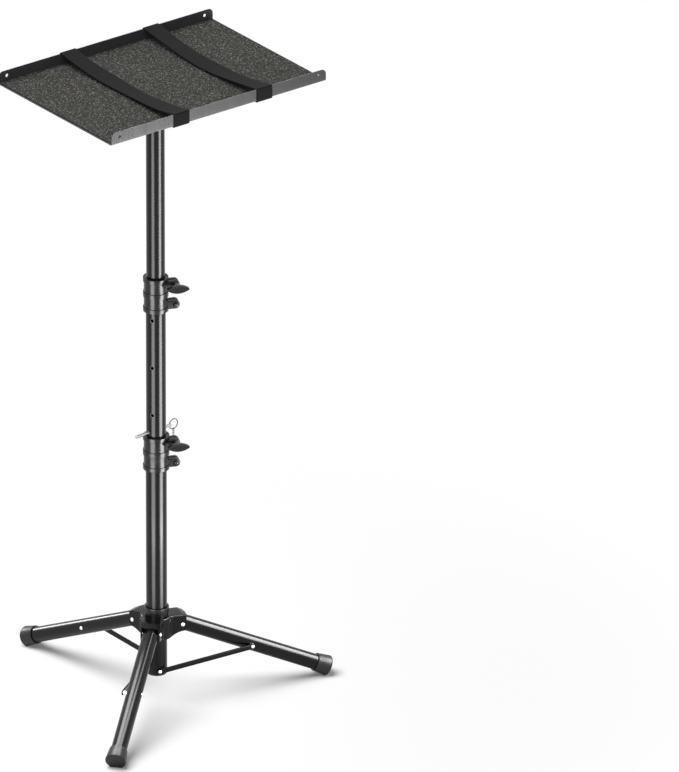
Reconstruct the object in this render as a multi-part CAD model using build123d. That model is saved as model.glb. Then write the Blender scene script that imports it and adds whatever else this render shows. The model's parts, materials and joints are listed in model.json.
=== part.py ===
from build123d import *
import os
from math import atan2, cos, degrees, hypot, radians, sin, sqrt, tan

# Portable tripod stand with a lipped tray, all sizes in millimetres, angles in degrees.
# The model is drawn about the column axis with the floor at z = 0, the tray's long side
# along X and its front at -Y. The last step moves the origin to the middle of the footprint.

# Telescoping column
UPPER_TUBE_OD = 32.0
TUBE_WALL = 0.8
TUBE_SLIDE_GAP = 0.15
MID_TUBE_OD = UPPER_TUBE_OD + 2 * (TUBE_SLIDE_GAP + TUBE_WALL)
LOWER_TUBE_OD = MID_TUBE_OD + 2 * (TUBE_SLIDE_GAP + TUBE_WALL)
LOWER_TUBE_BASE_Z = 46.0
MID_TUBE_LENGTH = 570.0
UPPER_TUBE_OVERLAP = 40.0
END_CAP_THICKNESS = 4.0
END_CAP_PLUG = 9.0
END_CAP_ROUND = 3.0
SEAT_GAP = 0.05

# Clamp collars
LOWER_COLLAR_Z = 425.0
UPPER_COLLAR_Z = 719.0
COLLAR_HEIGHT = 62.0
COLLAR_WALL = 3.3
COLLAR_FLANGE = 1.5
COLLAR_END_FLANGE_HEIGHT = 7.5
COLLAR_MID_FLANGE_HEIGHT = 9.0
COLLAR_CHAMFER = 0.6
COLLAR_SLIT = 2.4
EAR_AZIMUTH = -24.0
EAR_BOLT_RADIUS = 33.0
EAR_HALF_HEIGHT = 7.5
EAR_HALF_THICKNESS = 9.0
BOLT_EAR_RISE = 2.0
CLAMP_SCREW_D = 6.0
CLAMP_HOLE_GAP = 0.3
NUT_FLATS = 10.0
NUT_HEIGHT = 4.5
BOLT_HEAD_D = 10.5
BOLT_HEAD_HEIGHT = 3.5

# Clamp knobs
KNOB_LENGTH = 38.0
KNOB_WIDTH = 14.0
KNOB_THICKNESS = 9.0
KNOB_TIP_ROUND = 2.0
KNOB_EDGE_ROUND = 1.6
KNOB_NECK_D = 11.0
KNOB_FACE_GAP = 0.3
KNOB_STANDOFF = 22.5
KNOB_SCREW_DEPTH = 8.0

# Locking pin, its ring and its chain
PIN_D = 6.0
PIN_HOLE_GAP = 0.2
PIN_REST_GAP = 5.3
PIN_AZIMUTH = 4.0
PIN_TIP_REACH = 45.0
PIN_RING_REACH = 33.0
PIN_CHAMFER = 1.2
PIN_EYE_INSET = 3.5
PIN_EYE_D = 3.2
RING_OD = 20.0
RING_WIRE = 1.8
CHAIN_LINK_LENGTH = 6.4
CHAIN_LINK_WIDTH = 4.2
CHAIN_WIRE = 0.9
CHAIN_LINKS = 7
CHAIN_SLACK = 0.2
PIN_HOLE_PITCH = 88.0
SPARE_PIN_HOLES = 1
FRONT_HOLE_AZIMUTH = 211.0
FRONT_HOLE_FIRST_Z = 529.0
FRONT_HOLES = 3

# Sliding hub
LEG_AZIMUTHS = (-20.0, 100.0, 220.0)
HUB_PIVOT_RADIUS = 42.0
HUB_PIVOT_Z = 133.0
HUB_BORE_GAP = 0.3
HUB_CORE_RADIUS = 27.0
HUB_ARM_REACH = 51.0
HUB_ARM_WALL = 2.7
HUB_ROOF = 3.0
HUB_TOP_RISE = 19.0
HUB_CORE_DROP = 20.0
HUB_ARM_DROP = 11.5
HUB_ARM_ARCH = 3.0
HUB_VALLEY_ROUND = 8.0
HUB_EDGE_ROUND = 2.2
LEG_SIDE_GAP = 0.7
LEG_ROOF_GAP = 1.6
HUB_RING_OD = 42.3
HUB_RING_NECK_OD = 39.6
HUB_RING_NECK_HEIGHT = 6.0
HUB_RING_HEIGHT = 16.0
HUB_RING_CHAMFER = 1.0

# Legs and feet
LEG_OD = 27.0
LEG_WALL = 1.2
LEG_SLOPE = 24.6
LEG_LENGTH = 285.0
FOOT_SLEEVE = 22.0
FOOT_MOUTH_WALL = 2.2
FOOT_END_OD = 36.5
FOOT_END_WALL = 4.0
FOOT_END_ROUND = 3.5

# Braces and rivets
BRACE_PIVOT_Z = 52.0
BRACE_LEG_DISTANCE = 135.0
BRACE_WIDTH = 9.0
BRACE_THICKNESS = 3.0
BRACE_TUBE_GAP = 0.4
BRACE_LEG_GAP = 0.3
BRACE_SPACER_D = 8.0
RIVET_D = 4.0
RIVET_FIT_GAP = 0.08
RIVET_HEAD_D = 6.5
RIVET_HEAD_HEIGHT = 2.0
RIVET_TAIL = 1.6
LEG_RIVET_D = 6.0
LEG_RIVET_HEAD_D = 7.5

# Tray
TRAY_TOP_Z = 1150.0
TRAY_LENGTH = 450.0
TRAY_DEPTH = 320.0
TRAY_FORWARD = 20.0
TRAY_SHEET = 1.5
TRAY_LIP_HEIGHT = 22.0
TRAY_BEND_RADIUS = 1.5
LIP_CORNER_ROUND = 9.0
LIP_HOLE_D = 6.0
LIP_HOLE_INSET = 17.0
LIP_HOLE_HEIGHT = 12.5
MAT_THICKNESS = 2.0
MAT_SIDE_GAP = 0.4
MAT_END_GAP = 2.0
FLANGE_D = 104.0
FLANGE_THICKNESS = 4.0
FLANGE_ROUND = 1.5
SOCKET_OD = 42.0
SOCKET_HEIGHT = 52.0
SOCKET_GAP = 0.15
SOCKET_RIBS = 4
RIB_THICKNESS = 4.0
RIB_HEIGHT = 34.0
RIB_EDGE_INSET = 6.0
SCREW_CIRCLE_D = 80.0
SCREW_D = 5.0
SCREW_HEAD_D = 9.5
SCREW_HEAD_HEIGHT = 3.2
STRAP_WIDTH = 32.0
STRAP_THICKNESS = 1.6
STRAP_GAP = 0.3
STRAP_PLACES = {"left": -79.0, "right": 95.0}
STRAP_SAG_CLEARANCE = 4.0

# Heights that follow from the sizes above
COLLAR_STEP = COLLAR_HEIGHT / 2
KNOB_EAR_Z = 0.75 * COLLAR_HEIGHT
BOLT_EAR_Z = BOLT_EAR_RISE + EAR_HALF_HEIGHT
MID_TUBE_TOP_Z = UPPER_COLLAR_Z + COLLAR_STEP
LOWER_TUBE_TOP_Z = LOWER_COLLAR_Z + COLLAR_STEP
PIN_Z = LOWER_COLLAR_Z + COLLAR_HEIGHT + PIN_REST_GAP + PIN_D / 2
PLATE_TOP_Z = TRAY_TOP_Z - MAT_THICKNESS
PLATE_UNDER_Z = PLATE_TOP_Z - TRAY_SHEET
FLANGE_UNDER_Z = PLATE_UNDER_Z - FLANGE_THICKNESS

# Fold of the tripod: the hub rises until each leg hangs straight down
LEG_RADIUS = LEG_OD / 2
BRACE_LEG_R = HUB_PIVOT_RADIUS + BRACE_LEG_DISTANCE * cos(radians(LEG_SLOPE))
BRACE_LEG_Z = HUB_PIVOT_Z - BRACE_LEG_DISTANCE * sin(radians(LEG_SLOPE))
BRACE_LENGTH = hypot(BRACE_LEG_R, BRACE_LEG_Z - BRACE_PIVOT_Z)
BRACE_SLOPE = degrees(atan2(BRACE_LEG_Z - BRACE_PIVOT_Z, BRACE_LEG_R))
FOLDED_BRACE_RISE = sqrt(BRACE_LENGTH**2 - HUB_PIVOT_RADIUS**2)
HUB_TRAVEL = BRACE_PIVOT_Z + FOLDED_BRACE_RISE + BRACE_LEG_DISTANCE - HUB_PIVOT_Z
LEG_TURN = 90.0 - LEG_SLOPE
BRACE_TURN = degrees(atan2(FOLDED_BRACE_RISE, HUB_PIVOT_RADIUS)) - BRACE_SLOPE

# Side faces measured across a leg, on the clockwise side where its brace runs
ARM_INNER = LEG_RADIUS + LEG_SIDE_GAP
ARM_OUTER = ARM_INNER + HUB_ARM_WALL
BRACE_INNER = LOWER_TUBE_OD / 2 + BRACE_TUBE_GAP
BRACE_OUTER = BRACE_INNER + BRACE_THICKNESS
FAR = 1000.0


def upright_tube(outer_d, wall, z_low, z_high):
    """Round tube on the column axis."""
    section = Circle(outer_d / 2) - Circle(outer_d / 2 - wall)
    return Pos(0, 0, z_low) * extrude(section, z_high - z_low)


def bar_along_x(diameter, start, end):
    """Round bar on the X axis from start to end."""
    return extrude(Plane.YZ.offset(start) * Circle(diameter / 2), end - start)


def bar_along_y(diameter, start, end):
    """Round bar on the Y axis from start to end."""
    return Rot(0, 0, 90) * bar_along_x(diameter, start, end)


def cross_bar(diameter, start, end, z, azimuth):
    """Round bar along a level line through the column axis."""
    return Rot(0, 0, azimuth) * Pos(0, 0, z) * bar_along_x(diameter, start, end)


def dome_head(diameter, height):
    """Low domed head on the Z axis, its flat face at z = 0."""
    half = diameter / 2
    ball_radius = (half**2 + height**2) / (2 * height)
    ball = Pos(0, 0, height - ball_radius) * Sphere(ball_radius)
    return ball & Pos(0, 0, height / 2) * Cylinder(half, height)


def make_lower_tube():
    tube = upright_tube(LOWER_TUBE_OD, TUBE_WALL, LOWER_TUBE_BASE_Z, LOWER_TUBE_TOP_Z)
    for azimuth in LEG_AZIMUTHS:
        hole_d = RIVET_D + 2 * SEAT_GAP
        tube -= cross_bar(hole_d, 0, LOWER_TUBE_OD, BRACE_PIVOT_Z, azimuth - 90)
    return tube


def make_tube_end_cap():
    """Plug in the foot of the lower tube, with a rounded rim that closes its end."""
    rim = Pos(0, 0, LOWER_TUBE_BASE_Z - END_CAP_THICKNESS / 2)
    rim = rim * Cylinder(LOWER_TUBE_OD / 2, END_CAP_THICKNESS)
    rim = fillet(rim.edges().group_by(Axis.Z)[0], END_CAP_ROUND)
    plug_radius = LOWER_TUBE_OD / 2 - TUBE_WALL - SEAT_GAP
    plug = Pos(0, 0, LOWER_TUBE_BASE_Z) * extrude(Circle(plug_radius), END_CAP_PLUG)
    hollow = Circle(plug_radius - END_CAP_THICKNESS)
    cap = rim + plug - Pos(0, 0, LOWER_TUBE_BASE_Z) * extrude(hollow, END_CAP_PLUG)
    for azimuth in LEG_AZIMUTHS:
        clearance_d = RIVET_D + 2 * CLAMP_HOLE_GAP
        cap -= cross_bar(clearance_d, 0, LOWER_TUBE_OD, BRACE_PIVOT_Z, azimuth - 90)
    return cap


def make_mid_tube():
    tube = upright_tube(
        MID_TUBE_OD, TUBE_WALL, MID_TUBE_TOP_Z - MID_TUBE_LENGTH, MID_TUBE_TOP_Z
    )
    hole_d = PIN_D + 2 * PIN_HOLE_GAP
    for step in range(SPARE_PIN_HOLES + 1):
        z = PIN_Z - step * PIN_HOLE_PITCH
        tube -= cross_bar(hole_d, -MID_TUBE_OD, MID_TUBE_OD, z, PIN_AZIMUTH)
    for step in range(FRONT_HOLES):
        z = FRONT_HOLE_FIRST_Z + step * PIN_HOLE_PITCH
        tube -= cross_bar(hole_d, -MID_TUBE_OD, MID_TUBE_OD, z, FRONT_HOLE_AZIMUTH)
    return tube


def make_upper_tube():
    low = MID_TUBE_TOP_Z - UPPER_TUBE_OVERLAP
    return upright_tube(UPPER_TUBE_OD, TUBE_WALL, low, PLATE_UNDER_Z - SEAT_GAP)


def collar_flange(radius, z_low, height):
    disc = Pos(0, 0, z_low + height / 2) * Cylinder(radius, height)
    return chamfer(disc.edges().filter_by(GeomType.CIRCLE), COLLAR_CHAMFER)


def clamp_ear(z):
    """Rounded lug around a clamp screw, seen along the screw."""
    outline = Pos(EAR_BOLT_RADIUS / 2, z) * Rectangle(EAR_BOLT_RADIUS, 2 * EAR_HALF_HEIGHT)
    outline += Pos(EAR_BOLT_RADIUS, z) * Circle(EAR_HALF_HEIGHT)
    return extrude(Plane.XZ * outline, EAR_HALF_THICKNESS, both=True)


def make_collar(z_low, held_od, sliding_od):
    """Split clamp: the lower half is bolted on the outer tube, the upper half grips the inner."""
    barrel_radius = held_od / 2 + COLLAR_WALL
    flange_radius = barrel_radius + COLLAR_FLANGE
    collar = Pos(0, 0, COLLAR_STEP) * Cylinder(barrel_radius, COLLAR_HEIGHT)
    end_low = COLLAR_HEIGHT - COLLAR_END_FLANGE_HEIGHT
    mid_low = COLLAR_STEP - COLLAR_MID_FLANGE_HEIGHT / 2
    collar += collar_flange(flange_radius, 0, COLLAR_END_FLANGE_HEIGHT)
    collar += collar_flange(flange_radius, mid_low, COLLAR_MID_FLANGE_HEIGHT)
    collar += collar_flange(flange_radius, end_low, COLLAR_END_FLANGE_HEIGHT)
    collar += clamp_ear(KNOB_EAR_Z)
    collar += clamp_ear(BOLT_EAR_Z)
    collar -= extrude(Circle(held_od / 2 + SEAT_GAP), COLLAR_STEP)
    sliding_bore = Circle(sliding_od / 2 + TUBE_SLIDE_GAP)
    collar -= Pos(0, 0, COLLAR_STEP) * extrude(sliding_bore, COLLAR_STEP)
    slit_reach = EAR_BOLT_RADIUS + 2 * EAR_HALF_HEIGHT
    slit = Box(slit_reach, COLLAR_SLIT, 2 * COLLAR_HEIGHT)
    collar -= Pos(slit_reach / 2, 0, COLLAR_STEP) * slit
    hole = bar_along_y(CLAMP_SCREW_D + 2 * CLAMP_HOLE_GAP, -FAR, FAR)
    collar -= Pos(EAR_BOLT_RADIUS, 0, KNOB_EAR_Z) * hole
    collar -= Pos(EAR_BOLT_RADIUS, 0, BOLT_EAR_Z) * hole
    collar -= Pos(EAR_BOLT_RADIUS, 0, KNOB_EAR_Z) * hexagon_bar(
        NUT_FLATS + 2 * SEAT_GAP, EAR_HALF_THICKNESS - NUT_HEIGHT, FAR
    )
    return collar_place(z_low) * collar


def collar_place(z_low):
    """Where a collar's own frame stands, its ears along X and its knob towards -Y."""
    return Pos(0, 0, z_low) * Rot(0, 0, EAR_AZIMUTH)


def hexagon_bar(flats, start, end):
    """Six-sided bar along Y, its flats level."""
    section = RegularPolygon(flats / 2, 6, major_radius=False)
    return extrude(Plane.XZ.offset(-end) * section, end - start)


def make_collar_nut(z_low):
    """Nut for the knob's screw, sunk flush in the far ear."""
    nut = hexagon_bar(NUT_FLATS, EAR_HALF_THICKNESS - NUT_HEIGHT, EAR_HALF_THICKNESS)
    nut -= bar_along_y(CLAMP_SCREW_D + 2 * RIVET_FIT_GAP, -FAR, FAR)
    return collar_place(z_low) * Pos(EAR_BOLT_RADIUS, 0, KNOB_EAR_Z) * nut


def make_collar_bolt(z_low):
    """Fixed bolt through the lower ear, with its nut behind."""
    bolt = bar_along_y(CLAMP_SCREW_D, -EAR_HALF_THICKNESS, EAR_HALF_THICKNESS)
    head = dome_head(BOLT_HEAD_D, BOLT_HEAD_HEIGHT)
    bolt += Pos(0, -EAR_HALF_THICKNESS, 0) * Rot(90, 0, 0) * head
    nut_end = EAR_HALF_THICKNESS + NUT_HEIGHT
    bolt += hexagon_bar(NUT_FLATS, EAR_HALF_THICKNESS, nut_end)
    return collar_place(z_low) * Pos(EAR_BOLT_RADIUS, 0, BOLT_EAR_Z) * bolt


def make_knob(z_low):
    """Hand knob: a pointed lens bar on a round neck, drilled for its screw."""
    half_length = KNOB_LENGTH / 2
    half_width = KNOB_WIDTH / 2
    upper_edge = ThreePointArc((-half_length, 0), (0, half_width), (half_length, 0))
    lower_edge = ThreePointArc((half_length, 0), (0, -half_width), (-half_length, 0))
    lens = make_face(upper_edge + lower_edge)
    lens = fillet(lens.vertices(), KNOB_TIP_ROUND)
    bar = extrude(Plane.XZ.offset(KNOB_STANDOFF) * lens, KNOB_THICKNESS)
    bar = fillet(bar.faces().sort_by(Axis.Y)[0].edges(), KNOB_EDGE_ROUND)
    neck_start = -(EAR_HALF_THICKNESS + KNOB_FACE_GAP)
    neck = bar_along_y(KNOB_NECK_D, -KNOB_STANDOFF, neck_start)
    knob = bar + neck
    knob -= bar_along_y(CLAMP_SCREW_D + 2 * SEAT_GAP, neck_start - KNOB_SCREW_DEPTH, 0)
    return collar_place(z_low) * Pos(EAR_BOLT_RADIUS, 0, KNOB_EAR_Z) * knob


def make_knob_screw(z_low):
    """Screw moulded into the knob, running through both ears into the nut."""
    start = -(EAR_HALF_THICKNESS + KNOB_FACE_GAP + KNOB_SCREW_DEPTH)
    screw = bar_along_y(CLAMP_SCREW_D, start, EAR_HALF_THICKNESS)
    return collar_place(z_low) * Pos(EAR_BOLT_RADIUS, 0, KNOB_EAR_Z) * screw


def pin_place():
    return Rot(0, 0, PIN_AZIMUTH) * Pos(0, 0, PIN_Z)


def pin_eye_x():
    return PIN_RING_REACH - PIN_EYE_INSET


def ring_centre_x():
    return pin_eye_x() + (RING_OD - RING_WIRE) / 2


def make_lock_pin():
    """Round pin with chamfered ends and an upright eye for its ring."""
    pin = bar_along_x(PIN_D, -PIN_TIP_REACH, PIN_RING_REACH)
    pin = chamfer(pin.edges().filter_by(GeomType.CIRCLE), PIN_CHAMFER)
    pin -= Pos(pin_eye_x(), 0, 0) * Cylinder(PIN_EYE_D / 2, 2 * PIN_D)
    return pin_place() * pin


def make_pin_ring():
    """Wire ring held upright in line with the pin, its wire passing down through the eye."""
    ring = Rot(90, 0, 0) * Torus((RING_OD - RING_WIRE) / 2, RING_WIRE / 2)
    return pin_place() * Pos(ring_centre_x(), 0, 0) * ring


def chain_link():
    """Oval wire link in the XZ plane, centred on the origin."""
    half_run = (CHAIN_LINK_LENGTH - CHAIN_LINK_WIDTH) / 2
    bend = (CHAIN_LINK_WIDTH - CHAIN_WIRE) / 2
    wire = Circle(CHAIN_WIRE / 2)
    arch = revolve(Pos(bend, 0) * wire, Axis.Y, 180)
    link = Part()
    for side in (-1, 1):
        link += Pos(side * bend, 0, -half_run) * extrude(wire, 2 * half_run)
        link += Pos(0, 0, side * half_run) * Rot(0, 90 + 90 * side, 0) * arch
    return link


def make_pin_chain():
    """Short free chain from the ring, each link turned a quarter from the last."""
    links = []
    pitch = CHAIN_LINK_LENGTH - 2 * CHAIN_WIRE - CHAIN_SLACK
    ring_wire_top = -(RING_OD / 2 - RING_WIRE)
    first_drop = ring_wire_top + CHAIN_SLACK + CHAIN_WIRE - CHAIN_LINK_LENGTH / 2
    for step in range(CHAIN_LINKS):
        place = Pos(ring_centre_x(), 0, first_drop - step * pitch)
        quarter = Rot(0, 0, 90 * ((step + 1) % 2))
        links.append(pin_place() * place * quarter * chain_link())
    return links


def hub_side_profile():
    """Half section of the hub: flat top, sloping arm ends and an arched underside."""
    top = HUB_PIVOT_Z + HUB_TOP_RISE
    end_top = top - (HUB_ARM_REACH - HUB_PIVOT_RADIUS) * tan(radians(LEG_SLOPE))
    core_low = HUB_PIVOT_Z - HUB_CORE_DROP
    arm_low = HUB_PIVOT_Z - HUB_ARM_DROP
    arch_r = (HUB_CORE_RADIUS + HUB_ARM_REACH) / 2
    arch_z = (core_low + arm_low) / 2 + HUB_ARM_ARCH
    edge = ThreePointArc(
        (HUB_CORE_RADIUS, core_low), (arch_r, arch_z), (HUB_ARM_REACH, arm_low)
    )
    outline = Polyline(
        (HUB_ARM_REACH, arm_low),
        (HUB_ARM_REACH, end_top),
        (HUB_PIVOT_RADIUS, top),
        (0, top),
        (0, core_low),
        (HUB_CORE_RADIUS, core_low),
    )
    return make_face(edge + outline)


def leg_slot():
    """Space a leg swings in, open below and outwards, its roof parallel to the open leg."""
    roof = HUB_PIVOT_Z + HUB_TOP_RISE - HUB_ROOF
    end_r = HUB_ARM_REACH + LEG_OD
    end_roof = roof - (end_r - HUB_PIVOT_RADIUS) * tan(radians(LEG_SLOPE))
    inner_r = HUB_PIVOT_RADIUS - LEG_RADIUS - LEG_ROOF_GAP
    low = HUB_PIVOT_Z - HUB_CORE_DROP - LEG_OD
    outline = Polyline(
        (inner_r, low),
        (inner_r, roof - LEG_RADIUS),
        (inner_r + LEG_RADIUS / 2, roof),
        (HUB_PIVOT_RADIUS, roof),
        (end_r, end_roof),
        (end_r, low),
        close=True,
    )
    return extrude(Plane.XZ * make_face(outline), ARM_INNER, both=True)


def make_leg_hub():
    """Sliding spider: a bored core with three channels that hold the legs."""
    plan = Circle(HUB_CORE_RADIUS)
    for azimuth in LEG_AZIMUTHS:
        arm = Pos(HUB_ARM_REACH / 2, 0) * Rectangle(HUB_ARM_REACH, 2 * ARM_OUTER)
        plan += Rot(0, 0, azimuth) * arm
    corners = [v for v in plan.vertices() if Vector(v.X, v.Y, 0).length < HUB_CORE_RADIUS + 1]
    plan = fillet(corners, HUB_VALLEY_ROUND)
    core_low = HUB_PIVOT_Z - HUB_CORE_DROP
    hub = Pos(0, 0, core_low) * extrude(plan, HUB_CORE_DROP + HUB_TOP_RISE)
    hub &= revolve(Plane.XZ * hub_side_profile(), Axis.Z)
    hub = fillet(hub.faces().sort_by(Axis.Z)[-1].edges(), HUB_EDGE_ROUND)
    hub -= Cylinder(LOWER_TUBE_OD / 2 + HUB_BORE_GAP, FAR)
    pivot = Pos(HUB_PIVOT_RADIUS, 0, HUB_PIVOT_Z)
    rivet_hole = pivot * bar_along_y(LEG_RIVET_D + 2 * SEAT_GAP, -FAR / 10, FAR / 10)
    for azimuth in LEG_AZIMUTHS:
        hub -= Rot(0, 0, azimuth) * leg_slot()
        hub -= Rot(0, 0, azimuth) * rivet_hole
    return hub


def make_hub_ring():
    """Guide ring on top of the hub, with a narrower neck below its band."""
    base = HUB_PIVOT_Z + HUB_TOP_RISE
    band_height = HUB_RING_HEIGHT - HUB_RING_NECK_HEIGHT
    band = extrude(Circle(HUB_RING_OD / 2), band_height)
    band = chamfer(band.edges().filter_by(GeomType.CIRCLE), HUB_RING_CHAMFER)
    ring = extrude(Circle(HUB_RING_NECK_OD / 2), HUB_RING_NECK_HEIGHT)
    ring += Pos(0, 0, HUB_RING_NECK_HEIGHT) * band
    ring -= Cylinder(LOWER_TUBE_OD / 2 + HUB_BORE_GAP, FAR)
    return Pos(0, 0, base) * ring


def make_leg_rivets():
    """One rivet through each channel and its leg, with a domed head at both ends."""
    rivet = bar_along_y(LEG_RIVET_D, -ARM_OUTER, ARM_OUTER)
    head = dome_head(LEG_RIVET_HEAD_D, RIVET_HEAD_HEIGHT)
    rivet += Pos(0, -ARM_OUTER, 0) * Rot(90, 0, 0) * head
    rivet += Pos(0, ARM_OUTER, 0) * Rot(-90, 0, 0) * head
    pivot = Pos(HUB_PIVOT_RADIUS, 0, HUB_PIVOT_Z)
    return [Rot(0, 0, azimuth) * pivot * rivet for azimuth in LEG_AZIMUTHS]


def leg_place(azimuth):
    """A leg's own frame: origin at its hub pivot, X out along the leg."""
    pivot = Pos(HUB_PIVOT_RADIUS, 0, HUB_PIVOT_Z)
    return Rot(0, 0, azimuth) * pivot * Rot(0, LEG_SLOPE, 0)


def make_leg(azimuth):
    """Leg tube with its inner end rounded about the hub pivot."""
    section = Circle(LEG_RADIUS) - Circle(LEG_RADIUS - LEG_WALL)
    leg = extrude(Plane.YZ.offset(-LEG_RADIUS) * section, LEG_LENGTH + LEG_RADIUS)
    outline = Circle(LEG_RADIUS)
    outline += Pos(LEG_LENGTH / 2, 0) * Rectangle(LEG_LENGTH, LEG_OD)
    leg &= extrude(Plane.XZ * outline, LEG_OD, both=True)
    leg -= bar_along_y(LEG_RIVET_D + 2 * RIVET_FIT_GAP, -LEG_OD, LEG_OD)
    brace_hole = bar_along_y(RIVET_D + 2 * SEAT_GAP, -LEG_OD, LEG_OD)
    leg -= Pos(BRACE_LEG_DISTANCE, 0, 0) * brace_hole
    return leg_place(azimuth) * leg


def make_foot(azimuth):
    """Flared rubber foot pulled over the leg's end, worn flat where it meets the floor."""
    mouth_x = LEG_LENGTH - FOOT_SLEEVE
    end_x = LEG_LENGTH + FOOT_END_WALL
    mouth_radius = LEG_RADIUS + FOOT_MOUTH_WALL
    end_radius = FOOT_END_OD / 2
    bore = LEG_RADIUS + SEAT_GAP
    outline = Polyline(
        (mouth_x, bore),
        (mouth_x, mouth_radius),
        (end_x, end_radius),
        (end_x, 0),
        (LEG_LENGTH, 0),
        (LEG_LENGTH, bore),
        close=True,
    )
    section = make_face(outline)
    rim = section.vertices().sort_by_distance((end_x, end_radius))[0]
    section = fillet(rim, FOOT_END_ROUND)
    foot = leg_place(azimuth) * revolve(Plane.XZ * section, Axis.X)
    return foot - Pos(0, 0, -FAR / 2) * Box(FAR, FAR, FAR)


def make_leg_rivet(azimuth):
    """Brace rivet's shank across the leg, with its head on the side away from the brace."""
    shank = bar_along_y(RIVET_D, -LEG_RADIUS + SEAT_GAP, LEG_RADIUS)
    head = Rot(-90, 0, 0) * dome_head(RIVET_HEAD_D, RIVET_HEAD_HEIGHT)
    rivet = shank + Pos(0, LEG_RADIUS, 0) * head
    return leg_place(azimuth) * Pos(BRACE_LEG_DISTANCE, 0, 0) * rivet


def brace_place(azimuth):
    """A brace's own frame: origin on the column axis, X out along the brace."""
    return Rot(0, 0, azimuth) * Pos(0, 0, BRACE_PIVOT_Z) * Rot(0, -BRACE_SLOPE, 0)


def make_brace(azimuth):
    """Flat strip with rounded ends beside its leg, from the tube's foot to the leg."""
    outline = Pos(BRACE_LENGTH / 2, 0) * SlotCenterToCenter(BRACE_LENGTH, BRACE_WIDTH)
    outline -= Circle(RIVET_D / 2 + RIVET_FIT_GAP)
    outline -= Pos(BRACE_LENGTH, 0) * Circle(RIVET_D / 2 + SEAT_GAP)
    strip = extrude(Plane.XZ.offset(BRACE_INNER) * outline, BRACE_THICKNESS)
    return brace_place(azimuth) * strip


def make_brace_rivet(azimuth):
    """Head, shank and spacer that hold the brace's outer end beside the leg."""
    rivet = bar_along_y(RIVET_D, -BRACE_OUTER, -BRACE_INNER)
    head = dome_head(RIVET_HEAD_D, RIVET_HEAD_HEIGHT)
    rivet += Pos(0, -BRACE_OUTER, 0) * Rot(90, 0, 0) * head
    rivet += bar_along_y(BRACE_SPACER_D, -BRACE_INNER, -(LEG_RADIUS + BRACE_LEG_GAP))
    return brace_place(azimuth) * Pos(BRACE_LENGTH, 0, 0) * rivet


def make_brace_studs():
    """Rivets in the lower tube's side that the braces turn on."""
    inner_end = LOWER_TUBE_OD / 2 - TUBE_WALL - RIVET_TAIL
    stud = bar_along_y(RIVET_D, -BRACE_OUTER, -inner_end)
    head = dome_head(RIVET_HEAD_D, RIVET_HEAD_HEIGHT)
    stud += Pos(0, -BRACE_OUTER, 0) * Rot(90, 0, 0) * head
    return [Rot(0, 0, az) * Pos(0, 0, BRACE_PIVOT_Z) * stud for az in LEG_AZIMUTHS]


def screw_places():
    """The four screws lie between the ribs of the tray's flange."""
    places = PolarLocations(SCREW_CIRCLE_D / 2, SOCKET_RIBS, start_angle=180 / SOCKET_RIBS)
    return list(places)


def make_tray_plate():
    """Bent sheet with a lip along the front and the back, its middle in front of the column."""
    half = TRAY_DEPTH / 2
    inner = half - TRAY_SHEET
    outline = Polyline(
        (-half, 0),
        (half, 0),
        (half, TRAY_LIP_HEIGHT),
        (inner, TRAY_LIP_HEIGHT),
        (inner, TRAY_SHEET),
        (-inner, TRAY_SHEET),
        (-inner, TRAY_LIP_HEIGHT),
        (-half, TRAY_LIP_HEIGHT),
        close=True,
    )
    section = make_face(outline)
    outer_bends = [v for v in section.vertices() if v.Y < TRAY_SHEET / 2]
    section = fillet(outer_bends, TRAY_BEND_RADIUS + TRAY_SHEET)
    inner_bends = [v for v in section.vertices() if abs(v.Y - TRAY_SHEET) < SEAT_GAP]
    section = fillet(inner_bends, TRAY_BEND_RADIUS)
    plate = extrude(Plane.YZ * section, TRAY_LENGTH / 2, both=True)
    lip_tops = plate.edges().filter_by(Axis.Y).group_by(Axis.Z)[-1]
    plate = fillet(lip_tops, LIP_CORNER_ROUND)
    for side in (-1, 1):
        x = side * (TRAY_LENGTH / 2 - LIP_HOLE_INSET)
        plate -= Pos(x, 0, LIP_HOLE_HEIGHT) * bar_along_y(LIP_HOLE_D, -TRAY_DEPTH, TRAY_DEPTH)
    plate = Pos(0, -TRAY_FORWARD, 0) * plate
    for place in screw_places():
        plate -= place * Cylinder(SCREW_D / 2 + SEAT_GAP, TRAY_LIP_HEIGHT)
    return Pos(0, 0, PLATE_UNDER_Z) * plate


def make_tray_mat():
    """Anti-slip mat that covers the tray's floor between the lips."""
    depth = TRAY_DEPTH - 2 * (TRAY_SHEET + TRAY_BEND_RADIUS + MAT_SIDE_GAP)
    length = TRAY_LENGTH - 2 * MAT_END_GAP
    mat = extrude(Rectangle(length, depth), MAT_THICKNESS)
    return Pos(0, -TRAY_FORWARD, PLATE_TOP_Z) * mat


def socket_rib():
    """Gusset between the socket and the flange."""
    inner = SOCKET_OD / 2 - RIB_THICKNESS / 2
    outer = FLANGE_D / 2 - RIB_EDGE_INSET
    outline = Polyline(
        (inner, 0), (outer, 0), (SOCKET_OD / 2, -RIB_HEIGHT), (inner, -RIB_HEIGHT), close=True
    )
    return extrude(Plane.XZ * make_face(outline), RIB_THICKNESS / 2, both=True)


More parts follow.
